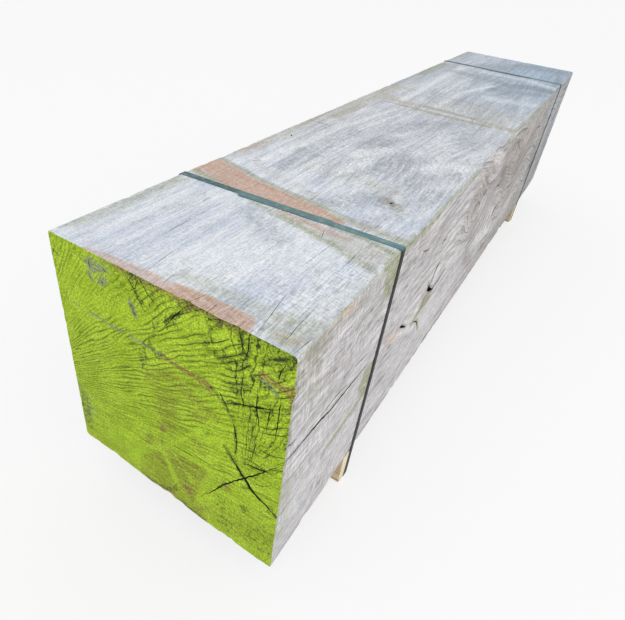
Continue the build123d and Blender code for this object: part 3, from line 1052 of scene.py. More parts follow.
def wearPost(mesh):
    co = valuesAt(mesh)
    fields = faceFields(co)
    x, up = fields["end"][:2]
    along = fields["right"][0]
    under = {name: values[2] for name, values in fields.items()}
    under["low"] = up
    move = np.zeros_like(co)
    for seed, (name, direction) in enumerate(inward.items()):
        u, v = (x, along) if name == "low" else fields[name][:2]
        near = np.clip(1 - under[name] / wear["reach"], 0, 1)
        move += np.outer(faceDepth(name, seed, u, v) * near, direction)
    for seed, (first, second, share) in enumerate(wear["arrises"]):
        reach = wear["nearArris" if "end" in (first, second) else "otherArris"][0]
        near = np.clip(1 - np.hypot(under[first], under[second]) / reach, 0, 1)
        diagonal = np.add(inward[first], inward[second]) * wear["diagonal"]
        move += np.outer(arrisLoss(first, second, share, seed, x, up, along) * near, diagonal)
    wornNear = np.clip(1 - along / lowerEdge["wornReach"], 0, 1) ** lowerEdge["wornFall"]
    tornNear = np.clip(lowerEdge["tornFull"] * (1 - along / lowerEdge["tornReach"]), 0, 1)
    worn = np.interp(x, *zip(*lowerEdge["worn"])) * wornNear
    torn = np.interp(x, *zip(*lowerEdge["torn"])) * tornNear
    move[:, 2] += np.maximum(worn, torn) * np.clip(1 - up / lowerEdge["lift"], 0, 1)
    co += move * mm
    mesh.vertices.foreach_set("co", co.ravel())
    mesh.update()
    print("post worn", round(float(np.abs(move).max()), 1), "mm at most")


def setGrain(mesh):
    # one measure that runs round the post, bent where the grain flows round a knot
    fields = faceFields(valuesAt(mesh))
    height, half = postSize.z / mm, postSize.x / mm / 2
    x, up = fields["end"][:2]
    along = fields["right"][0]
    bent = {}
    for name, knots in grainKnots.items():
        start = fields[name][0 if name == "top" else 1]
        across = start.copy()
        for y0, c0, radius in knots:
            du, dv = along - y0, start - c0
            spread = du * du * grainFlow["drawnOut"] + dv * dv + radius ** 2 * grainFlow["core"]
            across -= dv * radius ** 2 / spread
        for y0, c0, reachAlong, reachAcross, lift in grainEyes[name]:
            across += lift * np.exp(-((along - y0) / reachAlong) ** 2 - ((start - c0) / reachAcross) ** 2)
        bent[name] = across
    under = np.stack([fields[name][2] for name in ("right", "top", "left")] + [up])
    nearest = np.argmin(under, axis=0)
    atLeft = fields["left"][2] < post["wane"] + grainFlow["seam"]
    grain = np.where(nearest == 1, height + half - bent["top"], bent["right"])
    grain = np.where((nearest == 2) | atLeft, 2 * height + 2 * half - bent["left"], grain)
    grain = np.where((nearest == 3) & ~atLeft, x - half, grain)
    writeValues(mesh, "grain", grain)
    writeValues(mesh, "inside", np.minimum.reduce([*under, fields["end"][2], fields["farEnd"][2]]))


# Wood and paint materials of the post. In each look's tables a noise has the two measures that it
# follows, its size along each, then its seed, detail and roughness. A ramp has its source, where
# it starts and ends, and its value at each. A row of ramps is multiplied, or added up under "sums".

def shadeBy(tree, colour, factor):
    return put(tree, "ShaderNodeVectorMath", {0: colour, "Scale": factor}, operation="SCALE").outputs[0]


def placeInMm(tree):
    x, y, z = parts(tree, bySize(tree, objectPlace(tree), (mm, mm, mm)))
    return x, minus(tree, y, nearEnd / mm), minus(tree, z, underside / mm)


def noisesOf(tree, look, measures, seed=0.0):
    made = {}
    for name, (first, second, sizeFirst, sizeSecond, offset, detail, roughness) in look["noises"].items():
        across = times(tree, measures[first], 1 / sizeFirst)
        along = times(tree, measures[second], 1 / sizeSecond)
        made[name] = noiseAt(tree, join(tree, across, along, seed + offset), detail, roughness)
    return made


def rampsOf(tree, sources, rows):
    return [ramp(tree, sources[source], *limits) for source, *limits in rows]


def sharesOf(tree, look, sources):
    shares = {name: times(tree, *rampsOf(tree, sources, rows)) for name, rows in look["products"].items()}
    for name, rows in look.get("sums", {}).items():
        shares[name] = plus(tree, *rampsOf(tree, sources, rows))
    return shares


mottle = {
    "broken": {"Scale": 1.0, "Detail": 7.0, "Roughness": 0.76},
    "fine": {"Scale": 2.3, "Detail": 4.0, "Roughness": 0.7},
    "painted": (0.0, 0.2),
    "patch": (0.4, 0.6),
}


def stained(tree, base, look, factors=None, first=""):
    # lays the stain layers over the base, each edge broken up and each patch mottled by noise
    place = bySize(tree, objectPlace(tree), (look["mottleSize"] * mm,) * 3)
    broken = put(tree, "ShaderNodeTexNoise", {"Vector": place, **mottle["broken"]})
    fine = put(tree, "ShaderNodeTexNoise", {"Vector": place, **mottle["fine"]})
    channels = parts(tree, broken.outputs["Color"])
    fineChannels = parts(tree, fine.outputs["Color"])
    for i, (name, colour, most, spread, low, high, least) in enumerate(look["tints"]):
        painted = layer(tree, first + name)
        stray = times(tree, minus(tree, channels[i % 3], 0.5), spread * 2)
        amount = times(tree, ramp(tree, plus(tree, painted, stray), low, high, 0.0, most),
                       ramp(tree, painted, *mottle["painted"]),
                       ramp(tree, fineChannels[i % 3], *mottle["patch"], least, 1.0))
        if factors and name in factors:
            amount = times(tree, amount, factors[name])
        base = blendColour(tree, amount, base, colour)
    return base


topLook = {
    "blue": srgb(200, 208, 222),
    "white": srgb(220, 224, 230),
    "middle": srgb(206, 208, 213),
    "far": srgb(170, 186, 202),
    "tints": [
        # layer, colour, most of it, how ragged, where it starts and is full, least of it in a patch
        ("chalk", srgb(236, 238, 241), 0.8, 0.6, 0.1, 0.9, 0.5),
        ("ochre", srgb(178, 166, 132), 0.8, 0.6, 0.05, 1.0, 0.45),
        ("sootAndShade", srgb(136, 146, 156), 0.86, 0.8, 0.1, 0.95, 0.45),
        ("rust", srgb(196, 154, 122), 0.88, 0.4, 0.1, 0.85, 0.8),
        ("algae", srgb(140, 150, 92), 0.8, 0.42, 0.05, 0.95, 0.62),
    ],
    "mottleSize": 18,
    "slant": 0.1,               # how far the saw lines turn from straight across
    "lean": 0.28,               # the same for the breaks in the rust
    "blade": (-300, 560, 0),    # middle of the curved saw marks, across and along
    "noises": {
        "broad": ("x", "along", 90, 260, 1.0, 3.0, 0.6),
        "streak": ("grain", "along", 15, 320, 2.0, 5.0, 0.7),
        "cord": ("grain", "along", 8, 170, 7.0, 3.0, 0.7),
        "fibre": ("grain", "along", 3.6, 34, 3.0, 3.0, 0.78),
        "grit": ("x", "along", 4.0, 5.0, 8.0, 3.0, 0.8),
        "speckle": ("x", "along", 6.5, 9.0, 14.0, 3.0, 0.75),
        "kerf": ("slanted", "x", 4.4, 34, 4.0, 3.0, 0.78),
        "seam": ("leaning", "x", 5.5, 90, 11.0, 3.0, 0.7),
        "arcs": ("fromBlade", "along", 7.0, 90, 5.0, 4.0, 0.75),
    },
    "products": {
        "white": [("level", 0.38, 0.6)],
        "middle": [("along", 420, 700, 0, 0.8)],
        "far": [("along", 900, 2100, 0, 1.0), ("x", -160, 120, 0.4, 1.0)],
        "beyondBand": [("along", 360, 620)],
        "arcs": [("along", 500, 600), ("along", 1000, 820), ("x", -60, 60),
                 ("arcs", 0.38, 0.58, -0.12, 0.06)],
        "speckle": [("along", 360, 620), ("speckle", 0.38, 0.6, -0.13, 0.07)],
        "rust": [("seam", 0.38, 0.58, 0.78, 1.0)],
        "algae": [("kerf", 0.38, 0.6, 0.6, 1.0)],
    },
    "sums": {
        "tone": [("streak", 0.34, 0.6, -0.2, 0.07), ("broad", 0.36, 0.62, -0.1, 0.05),
                 ("cord", 0.36, 0.6, -0.14, 0.06)],
        "crossed": [("kerf", 0.36, 0.6, -0.17, 0.06), ("fibre", 0.36, 0.6, -0.1, 0.05)],
        "fine": [("fibre", 0.36, 0.6, -0.14, 0.075), ("grit", 0.38, 0.6, -0.13, 0.09)],
    },
    "level": (0.6, 0.4),        # shares of the streaks and of the broad patches in the white
    "nearTone": 0.3,            # how much of the streaks shows before the near band
    "tone": (0.85, 1.04),       # how strongly the streaks darken, and the level between them
    "weave": 0.9,
    "fine": 1.02,
    "height": {"kerf": 0.7, "arcs": 0.5},
    "surface": (0.7, 0.002, 0.88),      # bump strength and distance, roughness
}


def makeTopWood():
    material, tree, shader = plainMaterial("silveredTop")
    x, along, _ = placeInMm(tree)
    measures = {
        "x": x, "along": along, "grain": layer(tree, "grain"),
        "slanted": plus(tree, along, times(tree, x, topLook["slant"])),
        "leaning": plus(tree, along, times(tree, x, topLook["lean"])),
        "fromBlade": distanceFrom(tree, join(tree, x, along, 0.0), topLook["blade"]),
    }
    noises = noisesOf(tree, topLook, measures)
    ofStreak, ofBroad = topLook["level"]
    level = plus(tree, times(tree, noises["streak"], ofStreak), times(tree, noises["broad"], ofBroad))
    shares = sharesOf(tree, topLook, {**measures, **noises, "level": level})
    colour = topLook["blue"]
    for name in ("white", "middle", "far"):
        colour = blendColour(tree, shares[name], colour, topLook[name])
    tone = times(tree, shares["tone"], ramp(tree, shares["beyondBand"], 0, 1, topLook["nearTone"], 1.0))
    tone = plus(tree, tone, shares["arcs"])
    darkens, between = topLook["tone"]
    colour = shadeBy(tree, colour, plus(tree, times(tree, tone, darkens), between))
    factors = {"rust": shares["rust"], "algae": shares["algae"]}
    colour = stained(tree, colour, topLook, factors)
    crossed = times(tree, shares["crossed"], times(tree, layer(tree, "weave"), topLook["weave"]))
    texture = plus(tree, shares["fine"], crossed, shares["speckle"])
    colour = shadeBy(tree, colour, plus(tree, texture, topLook["fine"]))
    cuts = [times(tree, noises[name], share) for name, share in topLook["height"].items()]
    finishSurface(tree, shader, colour, plus(tree, noises["fibre"], *cuts), *topLook["surface"])
    return material


sideLook = {
    "mid": srgb(206, 202, 203),
    "light": srgb(220, 218, 219),
    "far": srgb(182, 177, 173),
    "beyond": srgb(172, 177, 181),
    "dark": srgb(118, 110, 107),
    "tints": [
        ("chalk", srgb(230, 231, 234), 0.75, 0.6, 0.1, 0.9, 0.5),
        ("ochre", srgb(160, 150, 140), 0.75, 0.6, 0.1, 0.95, 0.4),
        ("rust", srgb(232, 200, 168), 0.72, 0.8, 0.1, 0.95, 0.6),
        ("algae", srgb(142, 152, 80), 0.9, 0.6, 0.1, 0.95, 0.5),
        ("sootAndShade", srgb(98, 91, 88), 0.75, 0.9, 0.1, 0.95, 0.4),
    ],
    "mottleSize": 20,
    "slant": 0.06,
    "ringWidth": 21,
    "ringDrift": 4.0,
    "noises": {
        "drift": ("grain", "along", 80, 420, 1.0, 2.0, 0.5),
        "streak": ("grain", "along", 14, 260, 2.0, 4.0, 0.7),
        "fibre": ("grain", "along", 3.6, 30, 3.0, 3.0, 0.78),
        "thread": ("grain", "along", 4.6, 110, 4.0, 3.0, 0.7),
        "middling": ("grain", "along", 7.5, 120, 7.0, 4.0, 0.76),
        "cord": ("grain", "along", 12, 240, 8.0, 3.0, 0.66),
        "gate": ("grain", "along", 24, 160, 9.0, 2.0, 0.5),
        "broad": ("up", "along", 120, 220, 5.0, 3.0, 0.55),
        "kerf": ("slanted", "up", 4.6, 60, 6.0, 3.0, 0.75),
    },
    "products": {
        "light": [("streak", 0.4, 0.6)],
        "far": [("along", 700, 1800, 0, 0.85)],
        "beyond": [("along", 1600, 2250, 0, 0.9)],
        "hatched": [("along", 700, 250, 0.25, 1.0), ("broad", 0.4, 0.58, 0.35, 1.15)],
        "nearLine": [("thread", 0.46, 0.38), ("along", 250, 600, 0.4, 0.2)],
        "middleLine": [("middling", 0.46, 0.38), ("along", 200, 440, 0.22, 0.6),
                       ("along", 1500, 900, 0.4, 1.0)],
        "farLine": [("cord", 0.46, 0.36), ("along", 600, 1100, 0.12, 0.7)],
        "ringLine": [("rings", 0.12, 0.01), ("gate", 0.44, 0.56, 0.15, 0.9), ("along", 560, 980, 0.16, 0.75)],
        "fibre": [("fibre", 0.4, 0.58, -0.2, 0.11)],
        "kerf": [("kerf", 0.4, 0.58, -0.17, 0.1)],
        "toneAlong": [("along", 200, 1000, 0.7, 1.3)],
        "algae": [("thread", 0.38, 0.6, 0.55, 1.0)],
        "sootAndShade": [("thread", 0.6, 0.4, 0.4, 1.0)],
    },
    "sums": {
        "tone": [("streak", 0.36, 0.62, -0.09, 0.06), ("broad", 0.36, 0.62, -0.08, 0.05)],
    },
    "tone": 0.065,
    "fine": 1.03,
    "threadHeight": 1.4,
    "lineDepth": 0.8,
    "surface": (0.8, 0.0025, 0.9),
}


def makeSideWood(name, light=1.0, seed=0.0, sawn=1.0):
    material, tree, shader = plainMaterial(name)
    _, along, up = placeInMm(tree)
    grain = layer(tree, "grain")
    slanted = plus(tree, along, times(tree, up, sideLook["slant"]))
    measures = {"grain": grain, "along": along, "up": up, "slanted": slanted}
    noises = noisesOf(tree, sideLook, measures, seed)
    drift = times(tree, noises["drift"], sideLook["ringDrift"])
    rings = folded(tree, plus(tree, drift, times(tree, grain, 1 / sideLook["ringWidth"])))
    shares = sharesOf(tree, sideLook, {**measures, **noises, "rings": rings})
    colour = sideLook["mid"]
    for key in ("light", "far", "beyond"):
        colour = blendColour(tree, shares[key], colour, sideLook[key])
    lines = largest(tree, *(shares[kind + "Line"] for kind in ("near", "middle", "far", "ring")))
    colour = blendColour(tree, lines, colour, sideLook["dark"])
    tone = times(tree, shares["tone"], shares["toneAlong"])
    colour = shadeBy(tree, colour, plus(tree, tone, light + sideLook["tone"]))
    factors = {"algae": shares["algae"], "sootAndShade": shares["sootAndShade"]}
    colour = stained(tree, colour, sideLook, factors)
    hatched = times(tree, shares["hatched"], sawn)
    texture = plus(tree, shares["fibre"], times(tree, hatched, shares["kerf"]))
    colour = shadeBy(tree, colour, plus(tree, texture, sideLook["fine"]))
    height = plus(tree, noises["fibre"], times(tree, noises["thread"], sideLook["threadHeight"]),
                  times(tree, hatched, noises["kerf"]), times(tree, lines, -sideLook["lineDepth"]))
    finishSurface(tree, shader, colour, height, *sideLook["surface"])
    return material


endLook = {
    "lime": srgb(158, 188, 26),
    "bright": srgb(196, 228, 62),
    # colour of the painted shade in the saw marks' grooves; bright is also the painted highlight on their
    # ridges
    "shadedGroove": srgb(84, 106, 8),
    "deep": srgb(50, 58, 18),
    "fleck": srgb(216, 224, 158),
    "tints": [
        ("ochre", srgb(124, 113, 44), 0.92, 0.45, 0.15, 0.75, 0.38),
        ("algae", srgb(180, 216, 44), 0.75, 0.7, 0.1, 0.9, 0.5),
        ("rust", srgb(140, 94, 74), 0.92, 0.8, 0.15, 0.7, 0.55),
        ("chalk", srgb(140, 144, 126), 0.9, 1.1, 0.2, 0.75, 0.55),
        ("sootAndShade", srgb(42, 50, 20), 0.95, 1.4, 0.42, 0.72, 0.55),
    ],
    "mottleSize": 11,
    "blade": (-440.0, 88.0),    # where the fan of saw marks would meet
    "fanLines": 56.0,           # lines in a turn of one radian, and how far they wander
    "fanWander": 5.0,
    "rayLines": 15.0,
    "rayWander": 3.0,
    "noises": {
        # a size along a turn is in radians
        "wander": ("turn", "reach", 1 / 10, 150, 1.0, 2.0, 0.5),
        "gate": ("turn", "reach", 1 / 26, 80, 2.0, 3.0, 0.6),
        "fan": ("turn", "reach", 1 / 96, 90, 6.0, 3.0, 0.7),
        "rays": ("pithTurn", "pithReach", 1 / 8, 60, 3.0, 3.0, 0.65),
        "grit": ("x", "up", 3.8, 3.8, 9.0, 3.0, 0.8),
        "patch": ("x", "up", 60, 60, 12.0, 4.0, 0.65),
        "blotch": ("x", "up", 16, 16, 14.0, 3.0, 0.7),
    },
    "products": {
        "shadedGroove": [("spokes", 0.15, 0.03), ("gate", 0.4, 0.58, 0.2, 1.0)],
        "fineShadedGroove": [("fan", 0.44, 0.34, 0, 0.9)],
        "litRidge": [("spokes", 0.3, 0.45), ("gate", 0.4, 0.58, 0.2, 1.0)],
        "fineLitRidge": [("fan", 0.58, 0.68)],
        "bright": [("patch", 0.36, 0.62, 0, 0.5)],
        "blotch": [("blotch", 0.36, 0.62, 0.9, 1.06)],
        "sawnShadedGroove": [("sawn", 0, 1, 0.2, 0.84)],
        "sawnLitRidge": [("sawn", 0, 1, 0.2, 0.9)],
        "rayLine": [("splits", 0.1, 0.03), ("rays", 0.4, 0.54, 0.1, 1.0)],
        "crossLine": [("spokes", 0.1, 0.03), ("gate", 0.48, 0.58, 0.0, 1.0)],
        "darkGrit": [("grit", 0.5, 0.42)],
        "ochre": [("fan", 0.4, 0.58, 1.0, 0.35)],
        "rust": [("grit", 0.64, 0.4, 0.65, 1.0)],
        "fleck": [("fan", 0.64, 0.7), ("blotch", 0.54, 0.64, 0, 0.8)],
        "grit": [("grit", 0.4, 0.6, 0.62, 1.27)],
    },
    "sootOffLines": 0.45,       # how much of the soot stays between the lines
    "gridShade": 0.8,
    "smoothPaint": 0.2,         # depth of the saw marks where the paint is smooth
    "gridDepth": 1.5,
    "gritHeight": 0.8,
    "surface": (0.7, 0.0016, 0.72),
}


def aboutPoint(tree, x, up, middle):
    dx = minus(tree, x, middle[0])
    dz = minus(tree, up, middle[1])
    return calc(tree, "ARCTAN2", dz, dx), distanceFrom(tree, join(tree, dx, dz, 0.0), (0, 0, 0))


def makeEndPaint():
    material, tree, shader = plainMaterial("limeEndPaint")
    x, _, up = placeInMm(tree)
    turn, reach = aboutPoint(tree, x, up, endLook["blade"])
    pithTurn, pithReach = aboutPoint(tree, x, up, post["pith"])
    measures = {"x": x, "up": up, "turn": turn, "reach": reach, "pithTurn": pithTurn, "pithReach": pithReach}
    noises = noisesOf(tree, endLook, measures)
    wander = times(tree, noises["wander"], endLook["fanWander"])
    spokes = folded(tree, plus(tree, times(tree, turn, endLook["fanLines"]), wander))
    wander = times(tree, noises["rays"], endLook["rayWander"])
    splits = folded(tree, plus(tree, times(tree, pithTurn, endLook["rayLines"]), wander))
    sawn = layer(tree, "endsawn")
    shares = sharesOf(tree, endLook, {**noises, "spokes": spokes, "splits": splits, "sawn": sawn})
    shadedGroove = largest(tree, shares["shadedGroove"], shares["fineShadedGroove"])
    litRidge = largest(tree, shares["litRidge"], shares["fineLitRidge"])
    colour = blendColour(tree, shares["bright"], endLook["lime"], endLook["bright"])
    colour = shadeBy(tree, colour, shares["blotch"])
    # saw marks: painted shade in the grooves and a painted highlight on the ridges, on top of their bump
    colour = blendColour(tree, times(tree, shadedGroove, shares["sawnShadedGroove"]), colour, endLook["shadedGroove"])
    colour = blendColour(tree, times(tree, litRidge, shares["sawnLitRidge"]), colour, endLook["bright"])
    grid = times(tree, largest(tree, shares["rayLine"], shares["crossLine"]), layer(tree, "endcrackle"))
    colour = blendColour(tree, times(tree, grid, endLook["gridShade"]), colour, endLook["deep"])
    lines = largest(tree, shadedGroove, shares["rayLine"], shares["darkGrit"])
    factors = {
        "sootAndShade": ramp(tree, lines, 0, 1, endLook["sootOffLines"], 1.0),
        "ochre": shares["ochre"],
        "rust": shares["rust"],
    }
    colour = stained(tree, colour, endLook, factors, "end")
    colour = blendColour(tree, shares["fleck"], colour, endLook["fleck"])
    colour = shadeBy(tree, colour, shares["grit"])
    height = times(tree, minus(tree, litRidge, shadedGroove), plus(tree, sawn, endLook["smoothPaint"]))
    height = plus(tree, height, times(tree, grid, -endLook["gridDepth"]),
                  times(tree, noises["grit"], endLook["gritHeight"]))
    finishSurface(tree, shader, colour, height, *endLook["surface"])
    return material


farEndLook = {
    "early": srgb(150, 139, 126),
    "late": srgb(184, 176, 164),
    "ray": srgb(112, 101, 90),
    "tints": sideLook["tints"],
    "mottleSize": 20,
    "slant": 0.1,
    "ringWidth": 9,
    "ringWobble": 3.0,
    "noises": {
        "wobble": ("x", "up", 70, 70, 2.0, 2.0, 0.5),
        "rays": ("pithTurn", "pithReach", 1 / 40, 60, 3.0, 3.0, 0.6),
        "kerf": ("slanted", "x", 3.0, 120, 6.0, 2.0, 0.6),
        "grit": ("x", "up", 2.4, 2.4, 9.0, 3.0, 0.7),
    },
    "products": {
        "late": [("rings", 0.1, 0.4)],
        "ray": [("rays", 0.42, 0.34, 0, 0.5)],
        "kerf": [("kerf", 0.3, 0.66, 0.86, 1.06)],
        "grit": [("grit", 0.3, 0.66, 0.86, 1.1)],
    },
    "gritHeight": 0.6,
    "surface": (0.55, 0.002, 0.92),
}


def makeFarEndWood():
    material, tree, shader = plainMaterial("bareEndGrain")
    x, _, up = placeInMm(tree)
    pithTurn, pithReach = aboutPoint(tree, x, up, post["pith"])
    slanted = plus(tree, up, times(tree, x, farEndLook["slant"]))
    measures = {"x": x, "up": up, "slanted": slanted, "pithTurn": pithTurn, "pithReach": pithReach}
    noises = noisesOf(tree, farEndLook, measures)
    wobble = times(tree, noises["wobble"], farEndLook["ringWobble"])
    rings = folded(tree, plus(tree, times(tree, pithReach, 1 / farEndLook["ringWidth"]), wobble))
    shares = sharesOf(tree, farEndLook, {**noises, "rings": rings})
    colour = blendColour(tree, shares["late"], farEndLook["early"], farEndLook["late"])
    colour = blendColour(tree, shares["ray"], colour, farEndLook["ray"])
    colour = shadeBy(tree, colour, shares["kerf"])
    colour = stained(tree, colour, farEndLook)
    colour = shadeBy(tree, colour, shares["grit"])
    height = plus(tree, noises["kerf"], times(tree, noises["grit"], farEndLook["gritHeight"]))
    finishSurface(tree, shader, colour, height, *farEndLook["surface"])
    return material


checkLook = {
    "mouth": srgb(70, 63, 52),
    "root": srgb(24, 22, 19),
    "noises": {"fibre": ("grain", "along", 2.4, 30, 3.0, 3.0, 0.7)},
    "products": {
        "root": [("inside", 0.0, 2.4)],
        "fibre": [("fibre", 0.3, 0.66, 0.7, 1.15)],
    },
    "surface": (0.5, 0.001, 0.95),
}


def makeCheckShade():
    material, tree, shader = plainMaterial("checkShade")
    _, along, _ = placeInMm(tree)
    noises = noisesOf(tree, checkLook, {"grain": layer(tree, "grain"), "along": along})
    shares = sharesOf(tree, checkLook, {**noises, "inside": layer(tree, "inside")})
    colour = blendColour(tree, shares["root"], checkLook["mouth"], checkLook["root"])
    colour = shadeBy(tree, colour, shares["fibre"])
    finishSurface(tree, shader, colour, noises["fibre"], *checkLook["surface"])
    return material


topPull = 0.05      # a worn arris between the top and a side goes to the top


def assignFaces(mesh, order):
    # the inside of a check keeps its own material, every other face takes its side's
    count = len(mesh.polygons)
    normals = np.zeros(count * 3)
    mesh.polygons.foreach_get("normal", normals)
    normals = normals.reshape(-1, 3)
    slots = np.zeros(count, dtype=np.int32)
    mesh.polygons.foreach_get("material_index", slots)
    names = [m.name for m in mesh.materials]
    inCheck = slots == names.index("checkShade")
    x, y, z = normals.T
    chosen = np.argmax(np.stack([z + topPull, -y, x, -x, -z, y]), axis=0)
    mesh.materials.clear()
    for material in order:
        mesh.materials.append(material)
    slots = np.where(inCheck, len(order) - 1, chosen).astype(np.int32)
    mesh.polygons.foreach_set("material_index", slots)
    print("faces by side", [int((slots == i).sum()) for i in range(len(order))])


def makePost():
    obj = meshObject("postWood", makePostBody())
    bare, _, _ = plainMaterial("bare")
    shade = makeCheckShade()
    obj.data.materials.append(bare)
    cutters = makeCutters()
    for cutter in cutters:
        cutter.data.materials.append(bare)
        cutter.data.materials.append(shade)
    cutWith(obj, cutters)
    mesh = obj.data
    print("checks cut,", len(mesh.polygons), "faces,", [m.name for m in mesh.materials])
    paintStains(mesh)
    setGrain(mesh)
    right = makeSideWood("silveredRight")
    left = makeSideWood("silveredLeft", light=0.94, seed=20.0, sawn=0.3)
    assignFaces(mesh, [makeTopWood(), makeEndPaint(), right, left, left, makeFarEndWood(), shade])
    wearPost(mesh)
    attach(obj, "root")
    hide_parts("post")
    print("post made")


# Bearers: planed softwood studs on edge

bearer = {
    "arris": 3.0,
    "step": 9.0,
    "near": "bearer_near",
    "far": "bearer_far",
    # cream ends and tan long faces: partly the wood's own colours, partly painted light, the lit ends paler
    # than the long faces in painted shade
    "cream": srgb(248, 236, 208),
    "tan": srgb(226, 206, 170),
    "dark": srgb(188, 158, 118),
    "weathered": srgb(190, 178, 156),
    "drift": (300, 30, 40),     # sizes of the noises along, through and up the stud
    "fibre": (40, 1.4, 1.4),
    "patch": (90, 40, 40),
    "heart": (0, 34, 20),       # the middle of the rings, through and up
    "ringWidth": 4.6,
    "ringDrift": 2.2,
    "products": {
        "tan": [("rings", 0.1, 0.42)],
        "weathered": [("patch", 0.4, 0.7, 0, 0.7)],
        "cream": [("rings", 0.12, 0.4, 0.4, 1.0)],
        "end": [("fromMiddle", 247.2, 249.0)],
        "fibre": [("fibre", 0.3, 0.66, 0.84, 1.08)],
    },
    "ringHeight": 0.5,
    "hollow": 0.35,
    "hollowNoise": 22,
    "skin": 0.4,
    "surface": (0.5, 0.0008, 0.82),
}


def makeBearerWood():
    # rings seen on the ends, and the lines they make along the faces
    material, tree, shader = plainMaterial("planedSoftwood")
    place = bySize(tree, objectPlace(tree), (mm, mm, mm))
    x, _, z = parts(tree, place)
    thick = layer(tree, "thick")
    inStud = join(tree, x, thick, z)
    drift = noiseAt(tree, bySize(tree, inStud, bearer["drift"]), 2.0)
    fibre = noiseAt(tree, bySize(tree, inStud, bearer["fibre"]), 3.0, 0.7)
    patch = noiseAt(tree, bySize(tree, place, bearer["patch"]), 3.0)
    heart = distanceFrom(tree, join(tree, 0.0, thick, z), bearer["heart"])
    ring = plus(tree, times(tree, heart, 1 / bearer["ringWidth"]), times(tree, drift, bearer["ringDrift"]))
    rings = folded(tree, ring)
    fromMiddle = calc(tree, "ABSOLUTE", x)
    sources = {"rings": rings, "patch": patch, "fibre": fibre, "fromMiddle": fromMiddle}
    shares = sharesOf(tree, bearer, sources)
    face = blendColour(tree, shares["tan"], bearer["dark"], bearer["tan"])
    face = blendColour(tree, shares["weathered"], face, bearer["weathered"])
    # end faces paler than the long faces: partly end grain's own colour, partly painted light and painted
    # shade
    end = blendColour(tree, shares["cream"], bearer["tan"], bearer["cream"])
    colour = blendColour(tree, shares["end"], face, end)
    colour = shadeBy(tree, colour, shares["fibre"])
    height = plus(tree, fibre, times(tree, rings, bearer["ringHeight"]))
    finishSurface(tree, shader, colour, height, *bearer["surface"])
    return material


def makeBearer(name, material, seed):
    low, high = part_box(name)
    size, middle = high - low, (high + low) / 2
    bm = boxMesh(middle, size)
    bevelEdges(bm, bm.edges[:], bearer["arris"] * mm, 3)
    for x in inStrides(low.x, high.x, bearer["step"] * mm):
        cutAcross(bm, (x, 0, 0), (1, 0, 0))
    for z in inStrides(low.z, high.z, bearer["step"] * mm):
        cutAcross(bm, (0, 0, z), (0, 0, 1))
    cutAcross(bm, (0, middle.y, 0), (0, 1, 0))
    for vert in bm.verts:
        # slight hollows and worn arrises, always inwards, with the bearing faces left flat
        offset = vert.co - middle
        stray = noise.noise(vert.co * bearer["hollowNoise"] + Vector((seed, 0, 0)))
        dent = bearer["hollow"] * mm * (1 + stray)
        for axis in (0, 1):
            if size[axis] / 2 - abs(offset[axis]) < bearer["skin"] * mm:
                vert.co[axis] -= math.copysign(dent, offset[axis])
    for face in bm.faces:
        face.smooth = True
    thick = [(v.co.y - low.y) / mm for v in bm.verts]
    obj = meshObject(name + "Stud", bm)
    writeValues(obj.data, "thick", thick)
    obj.data.materials.append(material)
    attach(obj, "root")
    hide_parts(name)
    print(name, "made,", len(obj.data.polygons), "faces")


# Bands: flat plastic strap round the post and a bearer, its ends lapped and welded on top

band = {
    "width": 16.0,
    "thickness": 0.9,
    "fromBearerEdge": 11.0,   # the middle of the band from the bearer's middle
    "bend": 4.0,              # radius at the post's arrises and at the bearer's
    "foot": 2.0,
    "near": {
        "bearer": "bearer_near", "leanLeft": 3.0, "leanRight": 28.0,
        "upperEnd": -95.0, "weld": 20.0, "lowerEnd": 103.0,
    },
    "far": {
        "bearer": "bearer_far", "leanLeft": 20.0, "leanRight": 17.0,
        "upperEnd": -62.0, "weld": 30.0, "lowerEnd": 118.0,
    },
    "bow": 4.0,               # how far a side run bows along the post
    "lapShift": 4.0,          # the upper layer lies this far off the lower one
    "shiftFrom": 20.0,        # right of the lower end, and the length over which it shifts
    "shiftOver": 50.0,
    "riseFrom": 14.0,         # the same for its rise onto the lower layer
    "riseOver": 12.0,
    "upperStray": 3.5,        # how far each end strays sideways past the weld, and how it curls
    "upperCurl": 1.4,
    "lowerStray": 3.0,
    "lowerCurl": 1.5,
    "layer": 1.0,
    "weldLength": 44.0,
    "margin": 4.0,
    "singleSkyReflection": 0.6,        # how much of the painted sky reflection the part left of the lap keeps, as a share of the rest
    "edge": 0.25,
    "counts": {"lower": 36, "side": 44, "ground": 30, "upper": 60, "bend": 5, "foot": 4},
    "rub": (60, 1.6, 1),      # sizes of the noises along and across the band, in mm
    "dust": (14, 14, 14),
    "ribs": 2.9,              # embossed ribs, in radians for each mm
    # the reflecting-sky colours are a painted reflection of the sky: the band's top is painted lighter teal
    # than its dark sides
    "fresh": srgb(20, 25, 24),
    "freshReflectingSky": srgb(82, 119, 124),
    "worn": srgb(44, 50, 48),
    "wornReflectingSky": srgb(140, 168, 170),
    "dustColour": srgb(150, 168, 160),
    "weldColour": srgb(92, 122, 122),
    "products": {
        "worn": [("rub", 0.42, 0.66, 0, 0.6)],
        "dusty": [("dust", 0.5, 0.64, 0, 0.42), ("skyReflection", 0, 1, 0.25, 1.0)],
        "roughness": [("rub", 0.3, 0.7, 0.45, 0.62)],
    },
    "weldShade": 0.4,
    "embossHeight": 0.5,
    "bump": (0.4, 0.0002),    # strength and distance
    "gloss": 0.14,
}


def quarterTurn(x, z, radius, start, y, count):
    # goes round a corner from one run to the next, about a centre
    out = []
    for turn in np.linspace(start, start + math.pi / 2, count)[1:]:
        way = (math.cos(turn), math.sin(turn))
        out.append((x + radius * way[0], y, z + radius * way[1], *way))
    return out


